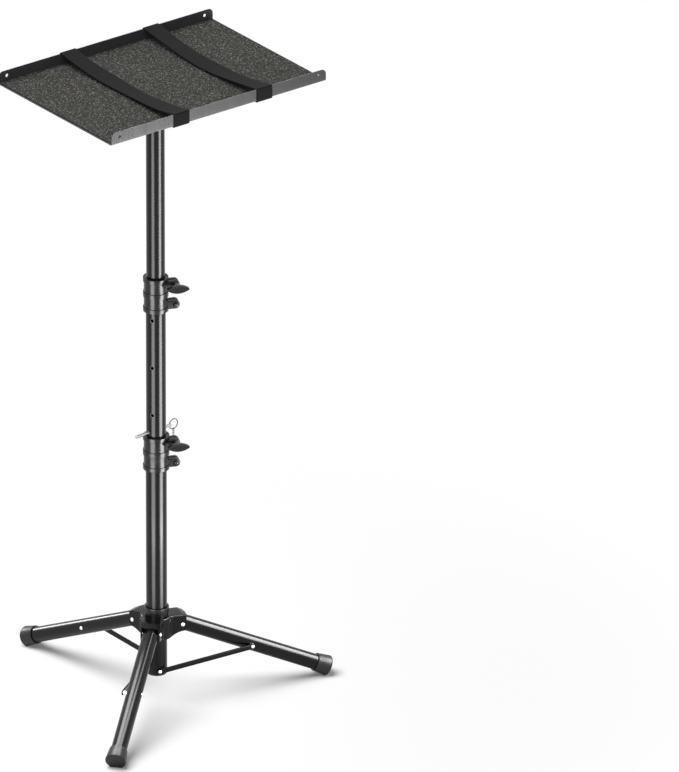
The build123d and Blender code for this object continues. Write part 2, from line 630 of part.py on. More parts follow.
def make_tray_flange():
    """Flange under the tray with a ribbed socket for the upper tube."""
    disc = extrude(Circle(FLANGE_D / 2), FLANGE_THICKNESS)
    disc = fillet(disc.edges().filter_by(GeomType.CIRCLE).group_by(Axis.Z)[0], FLANGE_ROUND)
    flange = disc + Pos(0, 0, -SOCKET_HEIGHT) * extrude(Circle(SOCKET_OD / 2), SOCKET_HEIGHT)
    for step in range(SOCKET_RIBS):
        flange += Rot(0, 0, step * 360 / SOCKET_RIBS) * socket_rib()
    flange -= Cylinder(UPPER_TUBE_OD / 2 + SOCKET_GAP, FAR)
    for place in screw_places():
        flange -= place * Cylinder(SCREW_D / 2 + SEAT_GAP, FLANGE_D)
    return Pos(0, 0, FLANGE_UNDER_Z) * flange


def make_tray_screws():
    """Domed screws from below through the flange and the tray's floor."""
    shank = extrude(Circle(SCREW_D / 2), FLANGE_THICKNESS + TRAY_SHEET)
    screw = shank + Rot(180, 0, 0) * dome_head(SCREW_HEAD_D, SCREW_HEAD_HEIGHT)
    return [Pos(0, 0, FLANGE_UNDER_Z) * place * screw for place in screw_places()]


def make_strap(x):
    """Webbing loop round the tray, its upper run sagging from lip to lip."""
    half = TRAY_DEPTH / 2 + STRAP_GAP
    low = PLATE_UNDER_Z - STRAP_GAP
    high = PLATE_UNDER_Z + TRAY_LIP_HEIGHT + STRAP_GAP
    inner = TRAY_DEPTH / 2 - TRAY_SHEET - STRAP_GAP
    sides = Polyline(
        (-inner, high), (-half, high), (-half, low), (half, low), (half, high), (inner, high)
    )
    sag = ThreePointArc((inner, high), (0, TRAY_TOP_Z + STRAP_SAG_CLEARANCE), (-inner, high))
    inside = make_face(sides + sag)
    ring = offset(inside, STRAP_THICKNESS) - inside
    loop = extrude(Plane.YZ * ring, STRAP_WIDTH / 2, both=True)
    return Pos(x, -TRAY_FORWARD, 0) * loop


def make_stand():
    """Every piece by its node name."""
    pieces = {
        "lower_tube": make_lower_tube(),
        "tube_end_cap": make_tube_end_cap(),
        "brace_studs": make_brace_studs(),
        "mid_tube": make_mid_tube(),
        "upper_tube": make_upper_tube(),
        "lower_collar": make_collar(LOWER_COLLAR_Z, LOWER_TUBE_OD, MID_TUBE_OD),
        "upper_collar": make_collar(UPPER_COLLAR_Z, MID_TUBE_OD, UPPER_TUBE_OD),
        "lock_pin": make_lock_pin(),
        "pin_ring": make_pin_ring(),
        "pin_chain": make_pin_chain(),
        "leg_hub": make_leg_hub(),
        "hub_ring": make_hub_ring(),
        "leg_rivets": make_leg_rivets(),
        "tray_plate": make_tray_plate(),
        "tray_mat": make_tray_mat(),
        "tray_flange": make_tray_flange(),
        "tray_screws": make_tray_screws(),
    }
    for name, z_low in (("lower", LOWER_COLLAR_Z), ("upper", UPPER_COLLAR_Z)):
        pieces[name + "_collar_nut"] = make_collar_nut(z_low)
        pieces[name + "_collar_bolt"] = make_collar_bolt(z_low)
        pieces[name + "_knob"] = make_knob(z_low)
        pieces[name + "_knob_screw"] = make_knob_screw(z_low)
    for number, azimuth in enumerate(LEG_AZIMUTHS, start=1):
        pieces["leg_" + str(number)] = make_leg(azimuth)
        pieces["foot_" + str(number)] = make_foot(azimuth)
        pieces["leg_rivet_" + str(number)] = make_leg_rivet(azimuth)
        pieces["brace_" + str(number)] = make_brace(azimuth)
        pieces["brace_rivet_" + str(number)] = make_brace_rivet(azimuth)
    for name, x in STRAP_PLACES.items():
        pieces["strap_" + name] = make_strap(x)
    return pieces


def whole_solids(piece):
    """The solids of a piece, which may be one shape or a list of like ones."""
    shapes = piece if isinstance(piece, list) else [piece]
    return [solid for shape in shapes for solid in shape.solids()]


def footprint_centre(pieces):
    """Middle of the whole stand's box, at floor level."""
    box = Compound([s for piece in pieces.values() for s in whole_solids(piece)]).bounding_box()
    return (box.min.X + box.max.X) / 2, (box.min.Y + box.max.Y) / 2


STAND = make_stand()
CENTRE_X, CENTRE_Y = footprint_centre(STAND)
os.makedirs("parts", exist_ok=True)
for node, piece in STAND.items():
    moved = [Pos(-CENTRE_X, -CENTRE_Y, 0) * solid for solid in whole_solids(piece)]
    export_step(Compound(moved), os.path.join("parts", node + ".step"))
print("column axis at x", round(-CENTRE_X, 4), "y", round(-CENTRE_Y, 4))
print("hub travel", round(HUB_TRAVEL, 4), "leg turn", LEG_TURN, "brace turn", round(BRACE_TURN, 4))
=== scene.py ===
"""Looks of a portable tripod stand with a lipped tray, in metres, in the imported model's own frame.

Surfaces are worked out as whole arrays: profiles turned about an axis, outlines carried through a
section, and grids of two parameters. Each one stands for the CAD node of the same name.
"""
import contextlib
import json
import math

import bmesh
import bpy
import numpy as np
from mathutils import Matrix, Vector

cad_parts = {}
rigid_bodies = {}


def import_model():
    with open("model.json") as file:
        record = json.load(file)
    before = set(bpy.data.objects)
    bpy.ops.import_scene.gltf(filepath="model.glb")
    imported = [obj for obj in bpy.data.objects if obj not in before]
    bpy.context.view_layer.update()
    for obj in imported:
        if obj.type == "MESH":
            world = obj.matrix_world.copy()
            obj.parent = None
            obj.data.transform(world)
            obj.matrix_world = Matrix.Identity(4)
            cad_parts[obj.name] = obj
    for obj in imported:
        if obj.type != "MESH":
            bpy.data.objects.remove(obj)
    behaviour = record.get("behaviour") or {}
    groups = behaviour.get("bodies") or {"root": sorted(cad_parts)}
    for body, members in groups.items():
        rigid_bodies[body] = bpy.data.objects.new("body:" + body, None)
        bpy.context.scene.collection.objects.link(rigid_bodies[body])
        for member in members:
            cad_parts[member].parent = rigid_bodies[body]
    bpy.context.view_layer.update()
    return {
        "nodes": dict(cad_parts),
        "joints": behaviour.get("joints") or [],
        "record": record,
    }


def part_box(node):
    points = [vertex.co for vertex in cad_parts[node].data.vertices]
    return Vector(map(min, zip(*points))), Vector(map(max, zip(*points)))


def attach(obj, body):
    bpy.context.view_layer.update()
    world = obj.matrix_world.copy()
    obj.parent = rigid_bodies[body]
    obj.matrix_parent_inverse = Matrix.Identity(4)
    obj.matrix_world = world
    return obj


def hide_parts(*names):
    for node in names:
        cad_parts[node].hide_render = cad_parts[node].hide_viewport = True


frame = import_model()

MM = 0.001
TURN = 2 * math.pi
UP = np.array([0.0, 0.0, 1.0])
SIDEWAYS = np.array([1.0, 0.0, 0.0])
SEED = 7

# Distances within which points are one, and fineness of the meshes; angles in degrees
WELD = 1e-6
CAD_WELD = 10 * WELD
SAME_POINT = WELD / 10
TUBE_SEGMENTS = 96
RIVET_SEGMENTS = 32
HOLE_SIDE_QUADS = 8
HOLE_RINGS = 4
SHARP_ANGLE = 35
CAD_SHARP_ANGLE = 30
SHEET_SHARP_ANGLE = 60
MAT_SHARP_ANGLE = 50
FLAT_ANGLE = 0.5
BEVEL_ANGLE = 40
BEVEL_SEGMENTS = 2
NEARLY_UPRIGHT = 0.9
ANGLE_DIGITS = 6
EDGE_NUDGE = 0.01

# Column and collars: sizes as in the part, and how far edges are softened
TUBE_WALL = 0.8 * MM
TUBE_EDGE = 0.25 * MM
END_CAP_ROUND = 3 * MM
END_CAP_RIM = 0.2 * MM
PIN_HOLE_RADIUS = 3.2 * MM
PIN_HOLE_PITCH = 88 * MM
PIN_HOLES = 2
FRONT_HOLE_AZIMUTH = 211
FRONT_HOLE_FIRST_Z = 529 * MM
FRONT_HOLES = 3
CHIP_WIDTH = 0.5 * MM
COLLAR_WALL = 3.3 * MM
COLLAR_FLANGE = 1.5 * MM
END_FLANGE_HEIGHT = 7.5 * MM
MID_FLANGE_HEIGHT = 9 * MM
COLLAR_EDGE = 0.45 * MM
COLLAR_SLIT = 2.4 * MM
EAR_AZIMUTH = -24
EAR_ROOT = COLLAR_WALL / 3
EAR_BOLT_RADIUS = 33 * MM
EAR_HALF_HEIGHT = 7.5 * MM
EAR_HALF_THICKNESS = 9 * MM
EAR_EDGE = 2.2 * MM
BOLT_HEAD_RADIUS = 5.25 * MM
BOLT_HEAD_HEIGHT = 3.5 * MM
NUT_SIDES = 6
NUT_RADIUS = 5.7 * MM
NUT_HEIGHT = 4.5 * MM
NUT_EDGE = 0.5 * MM
NUT_EDGE_STEPS = 3
SUNK_NUT_EDGE = 0.4 * MM
CLAMP_SCREW_RADIUS = 3 * MM
CLAMP_SCREW_TIP = 0.5 * MM
KNOB_HALF_LENGTH = 19 * MM
KNOB_HALF_WIDTH = 7 * MM
KNOB_TIP_ROUND = 1.6 * MM
KNOB_SPINE_SHARE = 0.72
KNOB_THICKNESS = 9 * MM
KNOB_EDGE = 1.6 * MM
KNOB_RIM = 2.3 * MM
KNOB_DISH_INSET = 2.8 * MM
KNOB_DISH_DEPTH = 0.5 * MM
KNOB_STANDOFF = 22.5 * MM
KNOB_FACE_GAP = 0.3 * MM
KNOB_NECK_RADIUS = 5.5 * MM
KNOB_NECK_FLARE = 0.9 * MM
KNOB_NECK_SINK = 1 * MM
KNOB_NECK_RINGS = 12
KNOB_NECK_SEGMENTS = 48

# Hub, legs, feet and braces, likewise
LEGS = (1, 2, 3)
HUB_EDGE = 0.9 * MM
HUB_ARM_OUTER = 16.9 * MM
HUB_RING_NECK = 6 * MM
HUB_RING_NECK_INSET = 1.35 * MM
HUB_RING_BORE_GAP = 0.3 * MM
HUB_RING_EDGES = (0.3 * MM, 0.3 * MM, 0.4 * MM, 1.2 * MM, 1.2 * MM, 0.4 * MM)
LEG_SLOPE = 24.6
LEG_RADIUS = 13.5 * MM
LEG_WALL = 1.2 * MM
LEG_LENGTH = 285 * MM
FOOT_SLEEVE = 22 * MM
FOOT_MOUTH_WALL = 2.2 * MM
FOOT_MOUTH_EDGE = 0.7 * MM
FOOT_END_RADIUS = 18.25 * MM
FOOT_END_WALL = 4 * MM
FOOT_END_EDGE = 3.2 * MM
FOOT_FACE_RINGS = 12
BRACE_LEG_DISTANCE = 135 * MM
BRACE_HALF_WIDTH = 4.5 * MM
BRACE_INNER = 18.3 * MM
BRACE_THICKNESS = 3 * MM
BRACE_EDGE = 0.9 * MM
BRACE_LEG_GAP = 0.3 * MM
BRACE_SPACER_RADIUS = 4 * MM
RIVET_RADIUS = 2 * MM
RIVET_HEAD_RADIUS = 3.25 * MM
RIVET_HEAD_HEIGHT = 2 * MM
STUD_DEPTH = 2 * MM
LEG_RIVET_RADIUS = 3 * MM
LEG_RIVET_HEAD_RADIUS = 3.75 * MM

# Locking pin, ring and chain, likewise
PIN_RADIUS = 3 * MM
PIN_CHAMFER = 1.2 * MM
PIN_TIP_REACH = 45 * MM
PIN_RING_REACH = 33 * MM
PIN_EYE_INSET = 3.5 * MM
PIN_SEGMENTS = 40
RING_RADIUS = 9.1 * MM
RING_WIRE_RADIUS = 0.9 * MM
RING_SEGMENTS = 64
RING_WIRE_SIDES = 14
CHAIN_LINKS = 7
CHAIN_LINK_LENGTH = 6.4 * MM
CHAIN_LINK_WIDTH = 4.2 * MM
CHAIN_LINK_SEGMENTS = 36
CHAIN_WIRE_RADIUS = 0.45 * MM
CHAIN_WIRE_SIDES = 8
CHAIN_SLACK = 0.2 * MM

# Tray, mat and straps, likewise
TRAY_SHEET = 1.5 * MM
TRAY_SHEET_EDGE = 0.3 * MM
TRAY_BEND = 3 * MM
TRAY_BEND_ROWS = 8
TRAY_FLOOR_ROWS = 6
TRAY_MIDDLE_COLUMNS = 23
LIP_CORNER_ROUND = 9 * MM
LIP_CORNER_ROWS = 12
LIP_END_COLUMNS = 8
LIP_HOLE_RADIUS = 3 * MM
LIP_HOLE_INSET = 17 * MM
LIP_HOLE_HEIGHT = 12.5 * MM
LIP_PATCH = 1.5 * LIP_HOLE_RADIUS
LIP_PATCH_CLEARANCE = 0.3 * MM
FLANGE_EDGE = 0.6 * MM
TRAY_SCREW_RADIUS = 4.75 * MM
TRAY_SCREW_HEIGHT = 3.2 * MM
TRAY_SCREW_SHANK = 2.5 * MM
MAT_ROWS = 170
MAT_COLUMNS = 240
MAT_GRAIN = 0.12 * MM
MAT_GRAIN_BASE = 0.2
STRAP_THICKNESS = 1.5 * MM
STRAP_EDGE = 0.4 * MM
STRAP_GAP = 0.35 * MM
STRAP_COLUMNS = 8
STRAP_TOP_BEND = 1.6 * MM
STRAP_FLOOR_BEND = 3 * MM
STRAP_BEND_STEPS = 9
STRAP_RUN_SHARE = 0.985
STRAP_RUN_STEPS = 60
STRAP_SAG_CLEARANCE = 5.2 * MM
STRAP_SLACK_DEPTH = 16 * MM
STRAP_SLACK_SHARE = 0.97
STRAP_SWAY_TURN = 2.2
STRAP_TILT = 0.9 * MM
STRAP_TILT_TURN = 5.0
STRAP_TILT_PHASE = 40 / MM
STRAP_DRIFTS = {"strap_left": 2.5 * MM, "strap_right": -2.0 * MM}


# Places read from the frame

def node_box(node):
    """Lowest and highest corner of a node as arrays."""
    low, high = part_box(node)
    return np.array(low), np.array(high)


def radius_of(node):
    """Radius of a round upright node, half its width."""
    low, high = node_box(node)
    return (high - low)[0] / 2


def middle_height(node):
    """Height halfway up a node."""
    low, high = node_box(node)
    return (low + high)[2] / 2


def joint(name):
    """The frame's entry for a joint."""
    return next(entry for entry in frame["joints"] if entry["name"] == name)


def unit(vector):
    """A vector divided by its length."""
    vector = np.asarray(vector, float)
    return vector / np.linalg.norm(vector)


BODY_OF = {
    node: body for body, nodes in frame["record"]["behaviour"]["bodies"].items() for node in nodes
}
UPPER_LOW, UPPER_HIGH = node_box("upper_tube")
COLUMN = np.array([*(UPPER_LOW + UPPER_HIGH)[:2] / 2, 0.0])


def turned(azimuth):
    """Unit vectors out along an azimuth, to its left, and up."""
    angle = math.radians(azimuth)
    out = np.array([math.cos(angle), math.sin(angle), 0.0])
    return out, np.cross(UP, out), UP


def leg_frame(number):
    """A leg's pivot, and unit vectors down the leg, to its left and up from its top."""
    pivot = np.array(joint(f"leg_{number}_fold")["pos_m"])
    out = unit((pivot - COLUMN) * (1, 1, 0))
    left = np.cross(UP, out)
    slope = math.radians(LEG_SLOPE)
    along = out * math.cos(slope) - UP * math.sin(slope)
    return pivot, along, left, np.cross(along, left)


def brace_frame(number):
    """A brace's pivot on the column axis, its unit vectors, and its length to the leg's rivet."""
    pivot, along, left, _ = leg_frame(number)
    start = np.array(joint(f"brace_{number}_fold")["pos_m"])
    reach = pivot + along * BRACE_LEG_DISTANCE - start
    reach -= left * (reach @ left)
    run = unit(reach)
    return start, run, left, np.cross(run, left), np.linalg.norm(reach)


# Arrays that shapes are made of

def grid_quads(rows, columns, close_rows=False, close_columns=False):
    """Corner numbers of the quads of a grid whose points are stored row by row."""
    row = np.arange(rows if close_rows else rows - 1)
    column = np.arange(columns if close_columns else columns - 1)
    row, column = np.meshgrid(row, column, indexing="ij")
    next_row = (row + 1) % rows
    next_column = (column + 1) % columns
    corners = [
        row * columns + column,
        row * columns + next_column,
        next_row * columns + next_column,
        next_row * columns + column,
    ]
    return np.stack(corners, axis=-1).reshape(-1, 4)


def steps_of(path):
    """Length of each step of a closed path, from a point to the next."""
    return np.linalg.norm(np.diff(path, axis=0, append=path[:1]), axis=1)


def rounded(corners, reach, steps=6):
    """Corners of a path, each replaced by a parabola that begins and ends that reach away from it."""
    corners = np.asarray(corners, float)
    before = np.roll(corners, 1, axis=0) - corners
    after = np.roll(corners, -1, axis=0) - corners
    reach = np.broadcast_to(reach, len(corners))[:, None]
    start = corners + before * reach / np.linalg.norm(before, axis=1, keepdims=True)
    end = corners + after * reach / np.linalg.norm(after, axis=1, keepdims=True)
    t = np.linspace(0, 1, steps)[None, :, None]
    bends = (1 - t) ** 2 * start[:, None] + 2 * t * (1 - t) * corners[:, None] + t**2 * end[:, None]
    path = bends.reshape(-1, corners.shape[1])
    return path[steps_of(path) > SAME_POINT]


def placed(points, origin, x_axis, y_axis, z_axis):
    """Points of a local frame, given by its origin and three unit vectors, in the stand's frame."""
    return points @ np.array([x_axis, y_axis, z_axis]) + origin


def polar(radius, angle, height):
    """Points about the vertical axis: radius times cosine and sine of the angle, and the height."""
    radius, angle, height = np.broadcast_arrays(radius, angle, height)
    return np.stack([radius * np.cos(angle), radius * np.sin(angle), height], axis=-1)


def signed(degrees):
    """Angles brought into the half turn either side of zero."""
    return (degrees + 180) % 360 - 180


def lathe(profile, origin, axis, segments=TUBE_SEGMENTS, hollow=False):
    """A profile of (radius, height) turned about an axis; a hollow one closes on itself as a ring."""
    profile = np.asarray(profile, float)
    angle = np.linspace(0, TURN, segments, endpoint=False)
    points = polar(profile[:, :1], angle, profile[:, 1:]).reshape(-1, 3)
    axis = unit(axis)
    helper = UP if abs(axis[2]) < NEARLY_UPRIGHT else SIDEWAYS
    side = unit(np.cross(helper, axis))
    quads = grid_quads(len(profile), segments, close_rows=hollow, close_columns=True)
    return placed(points, origin, side, np.cross(axis, side), axis), quads


def slab(outline, spine, section, origin, u_axis, v_axis, w_axis):
    """A solid with an outline in (u, v): each (inset, w) of the section is the outline drawn in that
    far towards its spine, and both ends close on the spine."""
    inward = spine - outline
    inward /= np.linalg.norm(inward, axis=1, keepdims=True)
    section = np.asarray(section, float)
    rings = outline[None] + section[:, 0][:, None, None] * inward[None]
    rings = np.concatenate([spine[None], rings, spine[None]])
    depth = np.concatenate([section[:1, 1], section[:, 1], section[-1:, 1]])
    depth = np.broadcast_to(depth[:, None, None], (*rings.shape[:2], 1))
    points = np.concatenate([rings, depth], axis=-1).reshape(-1, 3)
    quads = grid_quads(len(rings), len(outline), close_columns=True)
    return placed(points, origin, u_axis, v_axis, w_axis), quads


def soft_edges(low, high, radius, steps=5):
    """Section of a slab from w low to w high whose two rims are rounded to a radius."""
    angle = np.linspace(0, math.pi / 2, steps)
    inset = radius * (1 - np.sin(angle))
    rise = radius * (1 - np.cos(angle))
    lower = np.stack([inset, low + rise], axis=1)
    upper = np.stack([inset[::-1], high - rise[::-1]], axis=1)
    return np.concatenate([lower, upper])


def slot_outline(length, half_width, steps=16):
    """Outline of a bar with round ends about u = 0 and u = length, and its spine between them."""
    angle = np.linspace(-math.pi / 2, math.pi / 2, steps)
    far = np.stack([length + half_width * np.cos(angle), half_width * np.sin(angle)], axis=1)
    near = np.stack([-half_width * np.cos(angle), -half_width * np.sin(angle)], axis=1)
    outline = np.concatenate([far, near])
    spine = np.stack([np.clip(outline[:, 0], 0, length), 0 * outline[:, 1]], axis=1)
    return outline, spine


def wire_loop(path, normal, radius, sides):
    """A round wire along a closed flat path whose plane has the given normal."""
    along = np.roll(path, -1, axis=0) - np.roll(path, 1, axis=0)
    along /= np.linalg.norm(along, axis=1, keepdims=True)
    outward = np.cross(along, normal)
    angle = np.linspace(0, TURN, sides, endpoint=False)[None, :, None]
    ring = np.cos(angle) * outward[:, None] + np.sin(angle) * np.asarray(normal)
    points = path[:, None] + radius * ring
    return points.reshape(-1, 3), grid_quads(len(path), sides, close_rows=True, close_columns=True)


def dome_profile(head_radius, height, shank_radius, shank, steps=10):
    """Half section of a rivet: shank below z = 0, flat-backed dome of a sphere's cap above it."""
    ball = (head_radius**2 + height**2) / (2 * height)
    angle = np.linspace(math.asin(min(1, head_radius / ball)), 0, steps)
    cap = np.stack([ball * np.sin(angle), height - ball + ball * np.cos(angle)], axis=1)
    base = [(0, -shank), (shank_radius, -shank), (shank_radius, 0), (head_radius, 0)]
    return np.concatenate([base, cap])


def hole_patch(half_side, radius):
    """Flat rings that pass in even steps from a square to the round hole in its middle."""
    step = np.linspace(-1, 1, HOLE_SIDE_QUADS + 1)[:-1]
    one = np.ones(HOLE_SIDE_QUADS)
    sides = ((step, -one), (one, step), (-step, one), (-one, -step))
    square = half_side * np.concatenate([np.stack(side, axis=1) for side in sides])
    circle = radius * square / np.linalg.norm(square, axis=1, keepdims=True)
    share = np.linspace(0, 1, HOLE_RINGS)[:, None, None]
    flat = (square + share * (circle - square)).reshape(-1, 2)
    return flat, grid_quads(HOLE_RINGS, len(square), close_columns=True)


# Pieces

def merged(surfaces):
    """Several surfaces as one array of points and one of quads."""
    sizes = [len(points) for points, _ in surfaces]
    starts = np.cumsum([0, *sizes[:-1]])
    points = np.concatenate([points for points, _ in surfaces])
    quads = np.concatenate([quads + start for (_, quads), start in zip(surfaces, starts)])
    return points, quads


def shell_name(node):
    """Name of the piece that stands for a node."""
    return f"{node}_shell"


def new_object(name, data):
    """An object at the origin, unturned and unscaled."""
    made = bpy.data.objects.new(name, data)
    bpy.context.scene.collection.objects.link(made)
    return made


def new_shell(node, mesh):
    """The object of the piece that stands for a node."""
    return new_object(shell_name(node), mesh)


@contextlib.contextmanager
def edited(mesh, source=None):
    """A mesh, or its source, opened for editing and written to the mesh at the end."""
    shape = bmesh.new()
    shape.from_mesh(mesh if source is None else source)
    yield shape
    shape.to_mesh(mesh)
    shape.free()


def smooth_by_angle(mesh, degrees):
    """Shades faces smooth where they meet at less than an angle."""
    mesh.polygons.foreach_set("use_smooth", np.ones(len(mesh.polygons), bool))
    mesh.set_sharp_from_angle(angle=math.radians(degrees))
    mesh.update()


def closed_mesh(node, surfaces, sharp=SHARP_ANGLE):
    """Mesh of closed surfaces: seams and poles welded, faces turned outwards, smooth between edges."""
    points, quads = merged(surfaces)
    mesh = bpy.data.meshes.new(shell_name(node))
    mesh.from_pydata(points.tolist(), [], quads.tolist())
    with edited(mesh) as shape:
        bmesh.ops.remove_doubles(shape, verts=shape.verts, dist=WELD)
        bmesh.ops.recalc_face_normals(shape, faces=shape.faces)
    smooth_by_angle(mesh, sharp)
    return mesh


def dress(made, node, finish):
    """Gives a piece its finish and lets it stand for its node on the node's body."""
    material, slot = finish
    made.data.materials.clear()
    made.data.materials.append(material)
    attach(made, BODY_OF[node])
    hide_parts(node)


def piece(node, surfaces, finish):
    """A dressed piece that is all closed surfaces."""
    dress(new_shell(node, closed_mesh(node, surfaces)), node, finish)


def edge_bevel(made, width, angle=BEVEL_ANGLE):
    """Rounds the edges of a piece that are sharper than an angle."""
    bevel = made.modifiers.new("soft_edges", "BEVEL")
    bevel.width = width
    bevel.segments = BEVEL_SEGMENTS
    bevel.limit_method = "ANGLE"
    bevel.angle_limit = math.radians(angle)
    bevel.use_clamp_overlap = True


def sheet_wall(made, thickness, offset):
    """Gives a surface its wall: inwards at offset -1, to both sides alike at 0."""
    wall = made.modifiers.new("wall", "SOLIDIFY")
    wall.thickness = thickness
    wall.offset = offset
    wall.use_even_offset = True


def welded_copy(node, finish, bevel_width):
    """A copy of a node with its triangles welded, its flat faces joined and its edges softened."""
    mesh = bpy.data.meshes.new(shell_name(node))
    with edited(mesh, frame["nodes"][node].data) as shape:
        bmesh.ops.remove_doubles(shape, verts=shape.verts, dist=CAD_WELD)
        flat = math.radians(FLAT_ANGLE)
        bmesh.ops.dissolve_limit(shape, angle_limit=flat, verts=shape.verts, edges=shape.edges)
    smooth_by_angle(mesh, CAD_SHARP_ANGLE)
    made = new_shell(node, mesh)
    edge_bevel(made, bevel_width)
    dress(made, node, finish)


# Nodes of the finishes

NOISE_SPAN = (0.3, 0.7)
WHOLE_SPAN = (0, 1)
MIX_COLOURS = (6, 7)
MIX_RESULT = 2


def add_node(owner, kind, inputs=None, **settings):
    """A shader node with its settings; an input is a number, a colour or another node's socket."""
    made = owner.node_tree.nodes.new(kind)
    for key, value in settings.items():
        setattr(made, key, value)
    for socket, value in (inputs or {}).items():
        if isinstance(value, bpy.types.NodeSocket):
            owner.node_tree.links.new(value, made.inputs[socket])
        else:
            made.inputs[socket].default_value = value
    return made


def new_finish(name, **values):
    """A material and its principled shader; values that are the same all over sit on the shader."""
    material = bpy.data.materials.new(name)
    material.use_nodes = True
    shader = material.node_tree.nodes["Principled BSDF"]
    for key, value in values.items():
        shader.inputs[key.replace("_", " ")].default_value = value
    return material, shader


def connect(material, shader, socket, output):
    """Lets a node's output vary one of the shader's values."""
    material.node_tree.links.new(output, shader.inputs[socket])


def object_coordinates(material, scale=(1, 1, 1)):
    """Places on the piece in metres, stretched by a scale along each axis."""
    source = add_node(material, "ShaderNodeTexCoord").outputs["Object"]
    return add_node(material, "ShaderNodeMapping", {"Vector": source, "Scale": scale}).outputs[0]


def noise(material, coordinates, scale, detail):
    """Cloudy values about one half, with a number of clouds to the metre."""
    values = {"Vector": coordinates, "Scale": scale, "Detail": detail}
    return add_node(material, "ShaderNodeTexNoise", values).outputs["Fac"]


def bands(material, coordinates, direction, scale):
    """Even bands that follow each other in a direction."""
    values = {"Vector": coordinates, "Scale": scale}
    return add_node(material, "ShaderNodeTexWave", values, bands_direction=direction).outputs["Fac"]


def spread(owner, value, span, onto):
    """A value's span stretched onto another span and held at its ends."""
    values = {
        "Value": value, "From Min": span[0], "From Max": span[1], "To Min": onto[0], "To Max": onto[1]
    }
    return add_node(owner, "ShaderNodeMapRange", values).outputs[0]


def combined(owner, operation, first, second):
    """Two values joined by an operation."""
    return add_node(owner, "ShaderNodeMath", {0: first, 1: second}, operation=operation).outputs[0]


def mixed_colour(material, factor, first, second):
    """First colour where the factor is 0 and second where it is 1; each a colour or a socket."""
    made = add_node(material, "ShaderNodeMix", {0: factor}, data_type="RGBA")
    for index, colour in zip(MIX_COLOURS, (first, second)):
        if isinstance(colour, bpy.types.NodeSocket):
            material.node_tree.links.new(colour, made.inputs[index])
        else:
            made.inputs[index].default_value = (*colour, 1)
    return made.outputs[MIX_RESULT]


def relief(material, height, distance, strength):
    """A surface that rises with a value, by a distance."""
    values = {"Height": height, "Distance": distance, "Strength": strength}
    return add_node(material, "ShaderNodeBump", values).outputs["Normal"]


# Finishes

BLACK_PAINT = (0.0022, 0.0022, 0.0022), (0.0034, 0.0034, 0.0035)
GREY_PAINT = (0.034, 0.034, 0.034), (0.046, 0.046, 0.047)
BARE_METAL = (0.33, 0.33, 0.34)
RUB_MARKS = (260, 260, 7)
MOULDED_BLACK = (0.006, 0.006, 0.006), (0.009, 0.009, 0.0092)
# The knobs' black is the collars' plastic made a little lighter: painted sheen, standing in for the
# light the knob faces reflect
KNOB_BLACK_PAINTED_SHEEN = (0.010, 0.010, 0.010), (0.014, 0.014, 0.0145)
RUBBER_BLACK = (0.007, 0.007, 0.007), (0.016, 0.016, 0.0155)
RUBBER_ROUGHNESS = (0.38, 0.5)
DUST_SPAN = (0.45, 0.75)
MAT_GROUND = (0.010, 0.010, 0.009), (0.022, 0.022, 0.020)
MAT_FLECK = (0.125, 0.122, 0.102)
MAT_PIT = (0.008, 0.008, 0.008)
FLECK_SPAN = (0.55, 0.67)
PIT_SPAN = (0.40, 0.30)
YARN_BLACK = (0.003, 0.003, 0.003), (0.006, 0.006, 0.0062)
YARN_CROWN = (0.011, 0.011, 0.0115)
CHROME_GREY = (0.62, 0.62, 0.63)
WIRE_GREY = (0.15, 0.15, 0.155)
STEEL_GREY = (0.78, 0.78, 0.79)
HANDLED_SHADE = 0.86


def satin_paint(name, shades, roughness, gloss):
    """Dark powder coat: faint orange peel, slow drift of shade, rub marks along the tubes."""
    material, shader = new_finish(name, Specular_IOR_Level=gloss)
    here = object_coordinates(material)
    drift = noise(material, here, scale=14, detail=3)
    connect(material, shader, "Base Color", mixed_colour(material, drift, *shades))
    rubbed = noise(material, object_coordinates(material, RUB_MARKS), scale=1, detail=3)
    connect(material, shader, "Roughness", spread(material, rubbed, NOISE_SPAN, roughness))
    peel = noise(material, here, scale=900, detail=1)
    connect(material, shader, "Normal", relief(material, peel, distance=0.002 * MM, strength=0.2))
    return material


def drilled_paint(name, shades, roughness, gloss):
    """The column's paint, chipped to bare metal round the drilled holes."""
    material = satin_paint(name, shades, roughness, gloss)
    shader = material.node_tree.nodes["Principled BSDF"]
    chip = add_node(material, "ShaderNodeAttribute", attribute_name="chip").outputs["Fac"]
    painted = shader.inputs["Base Color"].links[0].from_socket
    connect(material, shader, "Base Color", mixed_colour(material, chip, painted, BARE_METAL))
    return material


def moulded_plastic(name, shades, roughness, gloss):
    """Black moulding with a fine spark-eroded grain."""
    material, shader = new_finish(name, Specular_IOR_Level=gloss)
    here = object_coordinates(material)
    cloud = noise(material, here, scale=30, detail=3)
    connect(material, shader, "Base Color", mixed_colour(material, cloud, *shades))
    connect(material, shader, "Roughness", spread(material, cloud, NOISE_SPAN, roughness))
    grain = noise(material, here, scale=2200, detail=2)
    connect(material, shader, "Normal", relief(material, grain, distance=0.015 * MM, strength=0.4))
    return material


def foot_rubber():
    """Dull rubber with a mottled, slightly dusty skin."""
    material, shader = new_finish("foot_rubber", Specular_IOR_Level=0.4)
    here = object_coordinates(material)
    dust = spread(material, noise(material, here, scale=60, detail=5), DUST_SPAN, WHOLE_SPAN)
    connect(material, shader, "Base Color", mixed_colour(material, dust, *RUBBER_BLACK))
    connect(material, shader, "Roughness", spread(material, dust, WHOLE_SPAN, RUBBER_ROUGHNESS))
    grain = noise(material, here, scale=900, detail=3)
    connect(material, shader, "Normal", relief(material, grain, distance=0.05 * MM, strength=0.5))
    return material


